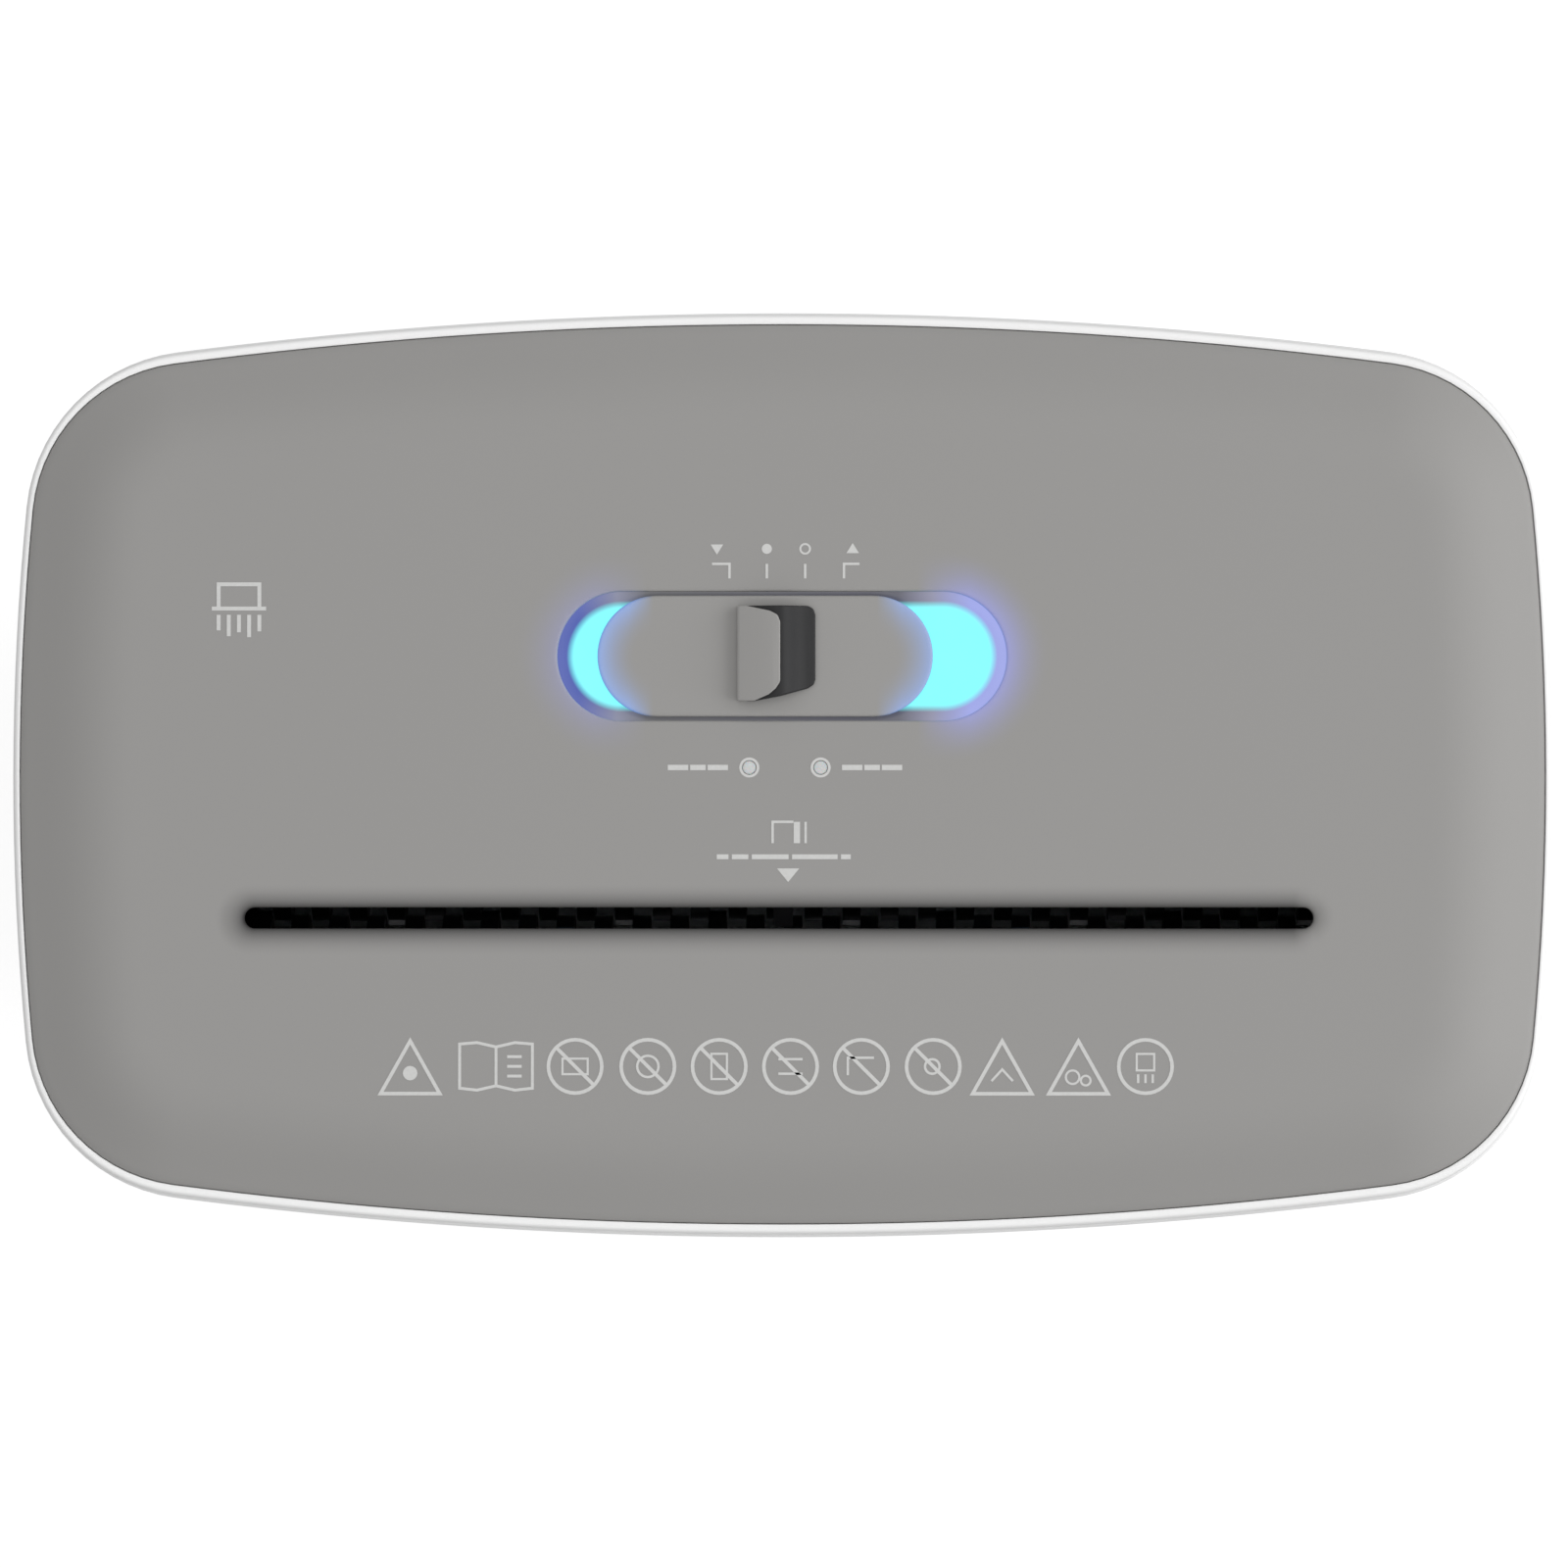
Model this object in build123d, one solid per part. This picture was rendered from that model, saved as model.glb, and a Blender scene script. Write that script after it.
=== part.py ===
from build123d import *

# Desk-side paper shredder: a motor head that lifts off a waste bin.
# Millimetres. +X right, +Y back, +Z up. Origin on the floor, under the middle of the machine.
# The feed slot, the cutters and the gear shafts run along X.

import os
from math import acos, atan2, cos, hypot, pi, radians, sin, sqrt, tan

# ---- outlines, as half width, half depth, front and back radius, side radius, corner radius ----
SHELL = (160.0, 96.0, 986.0, 576.0, 36.0)
PANEL = (157.75, 93.0, 983.0, 574.0, 33.5)
BIN_TOP = (150.0, 86.0, 976.0, 566.0, 30.0)
BIN_FOOT = (137.0, 73.0, 963.0, 553.0, 24.0)

# ---- levels above the floor ----
FOOT_H = 4.0
BIN_RIM_Z = 256.0
SKIRT_Z = 246.0
FLOOR_Z = 256.1
FLOOR_T = 3.0
SHELL_TOP_Z = 338.0
RING_TOP_Z = 346.5
PANEL_TOP_Z = 354.0
PANEL_T = 2.6
GRIP_TOP_Z = 360.0

# ---- walls ----
BIN_WALL = 2.5
SHELL_WALL = 2.8
RING_GAP = 0.35

# ---- crown of the panel: an even slope at the edge that levels out towards the middle ----
CROWN_W = 15.0
CROWN_DROP = 7.6
CROWN_BLEND = 10.0

# ---- feed slot ----
SLOT_X = -1.0
SLOT_Y = -29.5
SLOT_L = 222.0
SLOT_W = 5.0
SLOT_LIP_R = 2.2
GUIDE_T = 2.0
GUIDE_LOW_Z = 313.0
GUIDE_HALF_L = 117.0

# ---- slider switch ----
SWITCH_Y = 24.2
RECESS_L = 92.7
RECESS_W = 26.7
RECESS_LIP_R = 0.4
PLATE_X = -3.45
PLATE_L = 69.2
PLATE_W = 25.0
PLATE_T = 2.2
PLATE_LOW_Z = 351.6
SLIDE_LOW = -7.8
SLIDE_HIGH = 14.9
RIDGE_RIM = 0.5
RIDGE_PLAN = (
    (-9.2, 14.9), (-5.6, 14.9), (-2.6, 16.2), (-1.2, 17.4), (-0.3, 18.8),
    (-0.3, 31.2), (-0.9, 32.6), (-2.4, 33.4), (-7.4, 34.5), (-9.2, 34.5),
)
GRIP_PLAN = (
    (-7.4, 14.9), (-5.6, 14.9), (-0.3, 15.9), (5.4, 17.5), (6.9, 19.0),
    (6.9, 33.0), (5.6, 34.5), (-7.4, 34.5),
)
GRIP_HOLLOW = ((-0.3, 5.2), (0.6, 4.9), (1.6, 4.0), (3.2, 2.4), (5.0, 1.4), (6.9, 1.0))
STEM = 8.0
STEM_GAP = 0.4
LENS_T = 2.4
LENS_MARGIN = 2.6
HOUSING_H = 11.0
HOUSING_L = 64.0
HOUSING_W = 24.0
BOARD_T = 1.6

# ---- indicators ----
LAMP_X = (-6.7, 8.0)
LAMP_Y = 1.2
LAMP_R = 1.5

# ---- cutter block ----
CUT_Z = 297.0
SHAFT_GAP = 27.0
FRONT_Y = SLOT_Y - SHAFT_GAP / 2
REAR_Y = SLOT_Y + SHAFT_GAP / 2
DISC_COUNT = 28
DISC_PITCH = 8.0
DISC_T = 3.7
DISC_R = 14.0
TOOTH_R = 15.0
TOOTH_COUNT = 3
STAGGER_STEPS = 6
HUB_R = 9.5
HEX_R = 8.0
CUT_HALF_L = DISC_COUNT * DISC_PITCH / 2
JOURNAL_R = 5.0
BUSH_CLEAR = 0.05
BUSH_R = 7.5
PLATE_X0 = 118.0
SIDE_T = 2.0
SIDE_FRONT = -66.0
SIDE_TOP = 335.0
SIDE_REAR_LEFT = 10.0
SIDE_REAR_RIGHT = 74.0
SIDE_FEET = (13.0, 27.0)
ROD_R = 3.5
ROD_SPOTS = ((-60.0, 319.0), (4.0, 320.0), (-60.0, 272.0), (4.0, 268.0))

# ---- gears: teeth, module ----
PRESSURE = radians(25.0)
ADDENDUM = 0.8
DEDENDUM = 1.05
BACKLASH = 0.25
FLANK_STEPS = 3
SYNC = (18, 1.5)
DRIVE = (44, 1.25)
SECOND_SMALL = (12, 1.25)
SECOND_LARGE = (48, 1.0)
FIRST_SMALL = (12, 1.0)
FIRST_LARGE = (50, 0.8)
PINION = (10, 0.8)
MOTOR_Y = 45.0
MOTOR_Z = 290.0
SECOND_DROP = radians(-12.0)
PIN_R = 3.0
PIN_CLEAR = 0.05
GEAR_X1 = (122.5, 129.5)
GEAR_X2 = (131.5, 138.0)
GEAR_X3 = (139.5, 148.0)
COVER_X = (150.0, 152.0)
COVER_POSTS = ((-50.0, 322.0), (56.0, 294.0), (-8.0, 265.0))

# ---- motor ----
CAN_R = 26.0
CAN_T = 2.0
CAN_X = (36.0, 118.0)
CORE_R = 16.5
CORE_X = (50.0, 100.0)
MAGNET_R = (17.5, 24.0)
MOTOR_SHAFT_R = 2.5
FAN_X = (14.0, 26.0)
FAN_R = 22.0
FAN_BLADES = 9

# ---- screws and bosses ----
BOSS_SPOTS = ((-128, -66), (128, -66), (-128, 66), (128, 66), (0, -76), (0, 76))
BOSS_R = 4.0
SCREW_R = 1.4

# ---- cord gland, in the back wall ----
GLAND_X = -100.0
GLAND_Z = 276.0
GLAND_BORE_R = 3.75

# ---- bin interlock ----
LOCK_X = -142.0
TAB_TOP_Z = 264.0
PLUNGER_R = 2.5

# ---- paper sensor ----
LEVER_Y = -18.0
LEVER_Z = 332.0
LEVER_TIP = (-31.5, 326.0)


def box(x0, x1, y0, y1, z0, z1):
    """A block from its six faces."""
    size = Box(x1 - x0, y1 - y0, z1 - z0)
    return Pos((x0 + x1) / 2, (y0 + y1) / 2, (z0 + z1) / 2) * size


def across(x, y=0.0, z=0.0):
    """A place whose drawing plane faces +X, at the given point."""
    return Plane.YZ.offset(x).location * Pos(y, z)


def rod_x(radius, x0, x1, y, z):
    """A round bar along X."""
    return extrude(across(x0, y, z) * Circle(radius), x1 - x0)


def tube_x(outer, inner, x0, x1, y, z):
    """A round tube along X."""
    return extrude(across(x0, y, z) * (Circle(outer) - Circle(inner)), x1 - x0)


def post(radius, z0, z1, x, y):
    """A round bar along Z."""
    return extrude(Pos(x, y, z0) * Circle(radius), z1 - z0)


def inset(outline, depth):
    """The outline parallel to another, further in by depth."""
    return tuple(size - depth for size in outline)


def barrel(outline, z=0.0):
    """A face bounded by four shallow arcs joined by rounded corners."""
    half_w, half_d, long_r, side_r, corner_r = outline
    # the back arc's centre is (0, -rise) and the right arc's is (-run, 0): they cross at the corner
    rise = long_r - half_d
    run = side_r - half_w
    span = hypot(run, rise)
    along = (side_r**2 - long_r**2 + span**2) / (2 * span)
    off = sqrt(side_r**2 - along**2)
    x = -run + (along * run + off * rise) / span
    y = (-along * rise + off * run) / span
    edges = [
        ThreePointArc((-x, -y), (0, -half_d), (x, -y)),
        ThreePointArc((x, -y), (half_w, 0), (x, y)),
        ThreePointArc((x, y), (0, half_d), (-x, y)),
        ThreePointArc((-x, y), (-half_w, 0), (-x, -y)),
    ]
    face = make_face(edges)
    return Pos(0, 0, z) * fillet(face.vertices(), corner_r)


def slab(outline, z0, z1):
    """A solid with a barrel outline."""
    return extrude(barrel(outline, z0), z1 - z0)


def stadium(length, width, x, y, z0, z1):
    """A block with half-round ends."""
    return extrude(Pos(x, y, z0) * SlotOverall(length, width), z1 - z0)


def group(solids):
    """Separate solids kept in one node."""
    return Compound(children=list(solids))


def save(name, shape):
    """Write one node."""
    export_step(shape, f"parts/{name}.step")


# ---------------------------------------------------------------- gears


def involute(angle):
    return tan(angle) - angle


def gear(size, span, y, z, turn, bore):
    """A spur gear along X with one tooth centred on the direction turn, in radians from +Y to +Z."""
    teeth, module = size
    pitch_r = teeth * module / 2
    base_r = pitch_r * cos(PRESSURE)
    tip_r = pitch_r + ADDENDUM * module
    root_r = pitch_r - DEDENDUM * module
    half_tooth = (pi * module / 2 - BACKLASH / 2) / (2 * pitch_r)
    start_r = max(root_r, base_r)
    flank = []
    for step in range(FLANK_STEPS + 1):
        radius = start_r + (tip_r - start_r) * step / FLANK_STEPS
        lean = involute(acos(min(1.0, base_r / radius)))
        flank.append((radius, half_tooth + involute(PRESSURE) - lean))
    if root_r < base_r:
        flank.insert(0, (root_r, flank[0][1]))
    points = []
    for tooth in range(teeth):
        middle = turn + 2 * pi * tooth / teeth
        sides = [(r, -a) for r, a in flank] + [(r, a) for r, a in reversed(flank)]
        points += [(r * cos(middle + a), r * sin(middle + a)) for r, a in sides]
    face = make_face(Polyline(*points, close=True)) - Circle(bore)
    return extrude(across(span[0], y, z) * face, span[1] - span[0])


def mesh_distance(first, second):
    """Distance between the axes of two gears in mesh."""
    return (first[0] + second[0]) * first[1] / 2


def gap_turn(size, direction):
    """The turn that puts a gear's tooth gap in a direction."""
    return direction + pi / size[0]


def gear_axes():
    """The axes of the two reduction gears, as (y, z)."""
    reach = mesh_distance(DRIVE, SECOND_SMALL)
    second = (REAR_Y + reach * cos(SECOND_DROP), CUT_Z + reach * sin(SECOND_DROP))
    away = mesh_distance(SECOND_LARGE, FIRST_SMALL)
    back = mesh_distance(FIRST_LARGE, PINION)
    dy = MOTOR_Y - second[0]
    dz = MOTOR_Z - second[1]
    span = hypot(dy, dz)
    along = (away**2 - back**2 + span**2) / (2 * span)
    off = sqrt(away**2 - along**2)
    first = (
        second[0] + (along * dy - off * dz) / span,
        second[1] + (along * dz + off * dy) / span,
    )
    return first, second


def heading(start, end):
    """Direction from one axis to another, in radians from +Y to +Z."""
    return atan2(end[1] - start[1], end[0] - start[0])


FIRST_AXIS, SECOND_AXIS = gear_axes()
FRONT_AXIS = (FRONT_Y, CUT_Z)
REAR_AXIS = (REAR_Y, CUT_Z)
MOTOR_AXIS = (MOTOR_Y, MOTOR_Z)


def make_sync_gears():
    """Equal gears that keep the two cutter shafts in step."""
    toward_front = heading(REAR_AXIS, FRONT_AXIS)
    toward_rear = heading(FRONT_AXIS, REAR_AXIS)
    save("rear_sync_gear", gear(SYNC, GEAR_X1, *REAR_AXIS, toward_front, JOURNAL_R))
    facing = gap_turn(SYNC, toward_rear)
    save("front_sync_gear", gear(SYNC, GEAR_X1, *FRONT_AXIS, facing, JOURNAL_R))


def make_drive_gear():
    """The large gear on the rear cutter shaft, with a hub that meets the sync gear."""
    wheel = gear(DRIVE, GEAR_X3, *REAR_AXIS, heading(REAR_AXIS, SECOND_AXIS), JOURNAL_R)
    hub = tube_x(HUB_R, JOURNAL_R, GEAR_X1[1], GEAR_X3[0], *REAR_AXIS)
    save("drive_gear", wheel + hub)


def make_reduction_gears():
    """Two double gears, each free to turn on a fixed pin."""
    bore = PIN_R + PIN_CLEAR
    facing = gap_turn(SECOND_SMALL, heading(SECOND_AXIS, REAR_AXIS))
    small = gear(SECOND_SMALL, (GEAR_X2[1], GEAR_X3[1]), *SECOND_AXIS, facing, bore)
    large = gear(SECOND_LARGE, GEAR_X2, *SECOND_AXIS, heading(SECOND_AXIS, FIRST_AXIS), bore)
    save("second_reduction_gear", small + large)
    facing = gap_turn(FIRST_SMALL, heading(FIRST_AXIS, SECOND_AXIS))
    small = gear(FIRST_SMALL, (GEAR_X1[1], GEAR_X2[1]), *FIRST_AXIS, facing, bore)
    large = gear(FIRST_LARGE, GEAR_X1, *FIRST_AXIS, heading(FIRST_AXIS, MOTOR_AXIS), bore)
    save("first_reduction_gear", small + large)


def make_gear_pins():
    """Fixed pins for the reduction gears, from the side plate to the gear cover."""
    ends = (PLATE_X0, COVER_X[1])
    save("gear_pins", group(rod_x(PIN_R, *ends, *axis) for axis in (FIRST_AXIS, SECOND_AXIS)))


def make_gear_cover():
    """Plate over the gears, standing on three posts."""
    corners = ((-56, 317), (-50, 328), (40, 331), (58, 318), (61, 290), (30, 268), (-2, 260.5), (-14, 261))
    face = across(COVER_X[0]) * make_face(Polyline(*corners, close=True))
    plate = extrude(face, COVER_X[1] - COVER_X[0])
    posts = [rod_x(PIN_R, PLATE_X0 + SIDE_T, COVER_X[0], *spot) for spot in COVER_POSTS]
    cover = plate + posts
    for axis in (FIRST_AXIS, SECOND_AXIS):
        cover -= rod_x(PIN_R, COVER_X[0], COVER_X[1], *axis)
    save("gear_cover", cover)


# ---------------------------------------------------------------- cutter block


def cutter_shaft(axis, right_end):
    """A hexagonal shaft with a round journal at each end."""
    hexagon = across(-CUT_HALF_L, *axis) * RegularPolygon(HEX_R, 6)
    shaft = extrude(hexagon, 2 * CUT_HALF_L)
    shaft += rod_x(JOURNAL_R, -PLATE_X0 - SIDE_T - 3, -CUT_HALF_L, *axis)
    return shaft + rod_x(JOURNAL_R, CUT_HALF_L, right_end, *axis)


def cutter_disc(disc_first, turn):
    """A toothed disc and the hub that spaces it from the next one, on a local axis along Z."""
    face = Circle(DISC_R)
    lean = radians(34.0)
    for tooth in range(TOOTH_COUNT):
        start = turn + 2 * pi * tooth / TOOTH_COUNT
        hook = Polyline(
            (0, 0),
            (TOOTH_R * cos(start), TOOTH_R * sin(start)),
            (DISC_R * cos(start + lean), DISC_R * sin(start + lean)),
            close=True,
        )
        face += make_face(hook)
    hexagon = RegularPolygon(HEX_R, 6)
    hub_w = DISC_PITCH - DISC_T
    toothed = extrude(face - hexagon, DISC_T)
    hub = extrude(Circle(HUB_R) - hexagon, hub_w)
    if disc_first:
        return toothed + Pos(0, 0, DISC_T) * hub
    return hub + Pos(0, 0, hub_w) * toothed


def cutter_stack(axis, disc_first, way):
    """Discs along one shaft, the teeth of each turned a little from the last."""
    step = way * 2 * pi / TOOTH_COUNT / STAGGER_STEPS
    kinds = [cutter_disc(disc_first, step * index) for index in range(STAGGER_STEPS)]
    stack = []
    for index in range(DISC_COUNT):
        x = -CUT_HALF_L + index * DISC_PITCH
        stack.append(across(x, *axis) * kinds[index % STAGGER_STEPS])
    return group(stack)


def make_cutters():
    """Two shafts whose discs pass between each other."""
    save("front_cutter_shaft", cutter_shaft(FRONT_AXIS, GEAR_X1[1] + 0.5))
    save("rear_cutter_shaft", cutter_shaft(REAR_AXIS, GEAR_X3[1] + 1.0))
    save("front_cutter_discs", cutter_stack(FRONT_AXIS, True, 1))
    save("rear_cutter_discs", cutter_stack(REAR_AXIS, False, -1))
    clip = (-PLATE_X0 - SIDE_T - 2.5, -PLATE_X0 - SIDE_T - 1.5)
    save("front_shaft_clip", tube_x(BUSH_R, JOURNAL_R, *clip, *FRONT_AXIS))
    save("rear_shaft_clip", tube_x(BUSH_R, JOURNAL_R, *clip, *REAR_AXIS))


def make_bushes():
    """Flanged bushes pressed into the side plates."""
    bore = JOURNAL_R + BUSH_CLEAR
    bushes = []
    for axis in (FRONT_AXIS, REAR_AXIS):
        for side in (-1, 1):
            flange = sorted((side * (PLATE_X0 - 2), side * PLATE_X0))
            barrel_x = sorted((side * PLATE_X0, side * (PLATE_X0 + SIDE_T + 1)))
            bush = tube_x(BUSH_R + 2, bore, *flange, *axis)
            bushes.append(bush + tube_x(BUSH_R, bore, *barrel_x, *axis))
    save("cutter_bushes", group(bushes))


def side_screw_ys(rear_y):
    """Where a side plate's two feet are, from its front and rear edges."""
    return SIDE_FRONT + SIDE_FEET[0], rear_y - SIDE_FEET[1]


def side_plate(side, rear_y):
    """A steel plate that stands on the base cover on a bent foot."""
    inner = side * PLATE_X0
    outer = side * (PLATE_X0 + SIDE_T)
    floor_top = FLOOR_Z + FLOOR_T
    low, high = sorted((inner, outer))
    plate = box(low, high, SIDE_FRONT, rear_y, floor_top, SIDE_TOP)
    plate = chamfer(plate.edges().filter_by(Axis.X).group_by(Axis.Z)[-1], 10.0)
    foot = sorted((inner, side * (PLATE_X0 + 11)))
    for y in side_screw_ys(rear_y):
        plate += box(*foot, y - 7, y + 7, floor_top, floor_top + SIDE_T)
    for axis in (FRONT_AXIS, REAR_AXIS):
        plate -= rod_x(BUSH_R, low, high, *axis)
    for spot in ROD_SPOTS:
        plate -= rod_x(SCREW_R + 0.6, low, high, *spot)
    for y in side_screw_ys(rear_y):
        plate -= post(SCREW_R + 0.2, floor_top, floor_top + SIDE_T, side * (PLATE_X0 + 6.5), y)
    return plate


def make_side_plates():
    """The left plate carries the cutters; the right one also carries the motor and the gears."""
    save("left_side_plate", side_plate(-1, SIDE_REAR_LEFT))
    plate = side_plate(1, SIDE_REAR_RIGHT)
    ends = (PLATE_X0, PLATE_X0 + SIDE_T)
    for axis in (FIRST_AXIS, SECOND_AXIS):
        plate -= rod_x(PIN_R, *ends, *axis)
    plate -= rod_x(6.0, *ends, *MOTOR_AXIS)
    for angle in (90, 270):
        spot = (MOTOR_Y + 14 * cos(radians(angle)), MOTOR_Z + 14 * sin(radians(angle)))
        plate -= rod_x(2.0, *ends, *spot)
    save("right_side_plate", plate)


def make_tie_rods():
    """Four rods between the side plates, and the screws that hold them."""
    save("tie_rods", group(rod_x(ROD_R, -PLATE_X0, PLATE_X0, *spot) for spot in ROD_SPOTS))
    screws = []
    for spot in ROD_SPOTS:
        for side in (-1, 1):
            face = side * (PLATE_X0 + SIDE_T)
            head = rod_x(4.5, *sorted((face, face + side * 2.2)), *spot)
            screws.append(head - rod_x(1.6, *sorted((face + side, face + side * 2.2)), *spot))
    save("tie_rod_screws", group(screws))


def comb(bar_y, tip_y, offset):
    """A bar with one finger in the gap beside each disc."""
    low, high = sorted((bar_y, bar_y + 4.0 * (1 if bar_y > SLOT_Y else -1)))
    shape = box(-PLATE_X0, PLATE_X0, low, high, CUT_Z - 12, CUT_Z + 12)
    fingers = []
    for index in range(DISC_COUNT):
        x = -CUT_HALF_L + index * DISC_PITCH + offset
        ends = sorted((bar_y, tip_y))
        fingers.append(box(x - 1.25, x + 1.25, *ends, CUT_Z - 8, CUT_Z + 8))
    return shape + fingers


def make_combs():
    """Stripper combs that keep shreds from wrapping round the shafts."""
    gap = (DISC_PITCH - DISC_T) / 2
    reach = HUB_R + 1.0
    front = comb(FRONT_Y - TOOTH_R - 2, FRONT_Y - reach, DISC_T + gap)
    save("front_stripper_comb", front)
    rear = comb(REAR_Y + TOOTH_R + 2, REAR_Y + reach, gap)
    save("rear_stripper_comb", rear)


# ---------------------------------------------------------------- motor


def make_motor_case():
    """Steel can with magnets, a plastic end cap with brushes, and the thermal cut-out on top."""
    x0, x1 = CAN_X
    can = rod_x(CAN_R, x0, x1, *MOTOR_AXIS) - rod_x(CAN_R - CAN_T, x0, x1 - CAN_T, *MOTOR_AXIS)
    can -= rod_x(5.0, x1 - CAN_T, x1, *MOTOR_AXIS)
    for angle in (90, 270):
        spot = (MOTOR_Y + 14 * cos(radians(angle)), MOTOR_Z + 14 * sin(radians(angle)))
        can -= rod_x(SCREW_R, x1 - CAN_T, x1, *spot)
    save("motor_can", can)
    ring = tube_x(MAGNET_R[1], MAGNET_R[0], CORE_X[0] - 2, CORE_X[1] + 2, *MOTOR_AXIS)
    gap = box(CORE_X[0] - 3, CORE_X[1] + 3, MOTOR_Y - 40, MOTOR_Y + 40, MOTOR_Z - 6, MOTOR_Z + 6)
    save("motor_magnets", group((ring - gap).solids()))
    cap = rod_x(CAN_R, x0 - 6, x0, *MOTOR_AXIS) - rod_x(MOTOR_SHAFT_R + 0.5, x0 - 6, x0, *MOTOR_AXIS)
    for angle in range(45, 360, 90):
        spot = (MOTOR_Y + 17 * cos(radians(angle)), MOTOR_Z + 17 * sin(radians(angle)))
        cap -= rod_x(3.5, x0 - 6, x0, *spot)
    save("motor_end_cap", cap)
    upper = box(x0, x0 + 8, MOTOR_Y - 3, MOTOR_Y + 3, MOTOR_Z + 9.3, MOTOR_Z + 20)
    lower = box(x0, x0 + 8, MOTOR_Y - 3, MOTOR_Y + 3, MOTOR_Z - 20, MOTOR_Z - 9.3)
    save("motor_brushes", group((upper, lower)))
    top = MOTOR_Z + CAN_R
    cutout = box(60, 76, MOTOR_Y - 5, MOTOR_Y + 5, top - 2, top + 4) - rod_x(CAN_R, 58, 78, *MOTOR_AXIS)
    save("thermal_cutout", cutout)
    screws = []
    for angle in (90, 270):
        spot = (MOTOR_Y + 14 * cos(radians(angle)), MOTOR_Z + 14 * sin(radians(angle)))
        face = PLATE_X0 + SIDE_T
        screw = rod_x(3.0, face, face + 1.8, *spot) + rod_x(SCREW_R, CAN_X[1] - CAN_T, face, *spot)
        screws.append(screw)
    save("motor_screws", group(screws))


def make_rotor():
    """The turning part of the motor: shaft, wound core, commutator, pinion and fan."""
    ends = (FAN_X[0] - 2, GEAR_X1[1] + 0.5)
    save("rotor_shaft", rod_x(MOTOR_SHAFT_R, *ends, *MOTOR_AXIS))
    core = tube_x(CORE_R, MOTOR_SHAFT_R, *CORE_X, *MOTOR_AXIS)
    for index in range(10):
        angle = 2 * pi * index / 10
        spot = (MOTOR_Y + 15.5 * cos(angle), MOTOR_Z + 15.5 * sin(angle))
        core -= rod_x(1.6, *CORE_X, *spot)
    save("rotor_core", core)
    commutator = (CAN_X[0] + 1, CAN_X[0] + 10)
    save("rotor_commutator", tube_x(9.0, MOTOR_SHAFT_R, *commutator, *MOTOR_AXIS))
    facing = gap_turn(PINION, heading(MOTOR_AXIS, FIRST_AXIS))
    save("motor_pinion", gear(PINION, GEAR_X1, *MOTOR_AXIS, facing, MOTOR_SHAFT_R))
    fan = tube_x(7.0, MOTOR_SHAFT_R, *FAN_X, *MOTOR_AXIS)
    fan += tube_x(FAN_R, 6.0, FAN_X[1] - 1.5, FAN_X[1], *MOTOR_AXIS)
    blade = Box(FAN_R - 6.0, 1.4, FAN_X[1] - FAN_X[0])
    for index in range(FAN_BLADES):
        turn = Rot(0, 0, 360.0 * index / FAN_BLADES)
        fan += across((FAN_X[0] + FAN_X[1]) / 2, *MOTOR_AXIS) * turn * Pos(6.0 + (FAN_R - 6.0) / 2, 0, 0) * blade
    save("cooling_fan", fan)


# ---------------------------------------------------------------- head covers


def crowned(depth, z0):
    """The panel's outer shape, or the shape that lies further in by depth on every side."""
    slope = atan2(CROWN_DROP, CROWN_W)
    top_z = PANEL_TOP_Z - depth
    across = CROWN_W - depth * (1 + tan(slope / 2)) + 2 * depth * tan(slope / 2)
    block = slab(inset(PANEL, depth), z0, top_z)
    face = block.faces().sort_by(Axis.Z)[-1]
    block = chamfer(face.edges(), across, across * tan(slope), reference=face)
    blend = CROWN_BLEND / tan(slope / 2) - depth
    return fillet(block.faces().sort_by(Axis.Z)[-1].edges(), blend)


def rim_edges(panel, y):
    """Edges of the opening in the panel's flat top whose middle line is at y."""
    high = panel.faces().filter_by(Axis.Z).sort_by(Axis.Z)[-1]
    loops = [wire for wire in high.inner_wires() if abs(wire.bounding_box().center().Y - y) < 1]
    return loops[0].edges()


def make_top_panel():
    """Grey lid: thin and crowned, with a feed slot, a switch opening and two lamp holes."""
    panel = crowned(0.0, SHELL_TOP_Z) - crowned(PANEL_T, SHELL_TOP_Z - 1)
    low, high = PANEL_TOP_Z - PANEL_T - 1, PANEL_TOP_Z + 1
    panel -= stadium(SLOT_L, SLOT_W, SLOT_X, SLOT_Y, low, high)
    panel = fillet(rim_edges(panel, SLOT_Y), SLOT_LIP_R)
    panel -= stadium(RECESS_L, RECESS_W, 0, SWITCH_Y, low, high)
    panel = fillet(rim_edges(panel, SWITCH_Y), RECESS_LIP_R)
    for x in LAMP_X:
        panel -= post(LAMP_R, low, high, x, LAMP_Y)
    save("top_panel", panel)


def make_trim_ring():
    """White ring round the panel, on top of the shell."""
    ring = slab(SHELL, SHELL_TOP_Z, RING_TOP_Z) - slab(inset(PANEL, -RING_GAP), SHELL_TOP_Z, RING_TOP_Z)
    save("trim_ring", fillet(ring.faces().sort_by(Axis.Z)[-1].edges(), 0.8))


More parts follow.
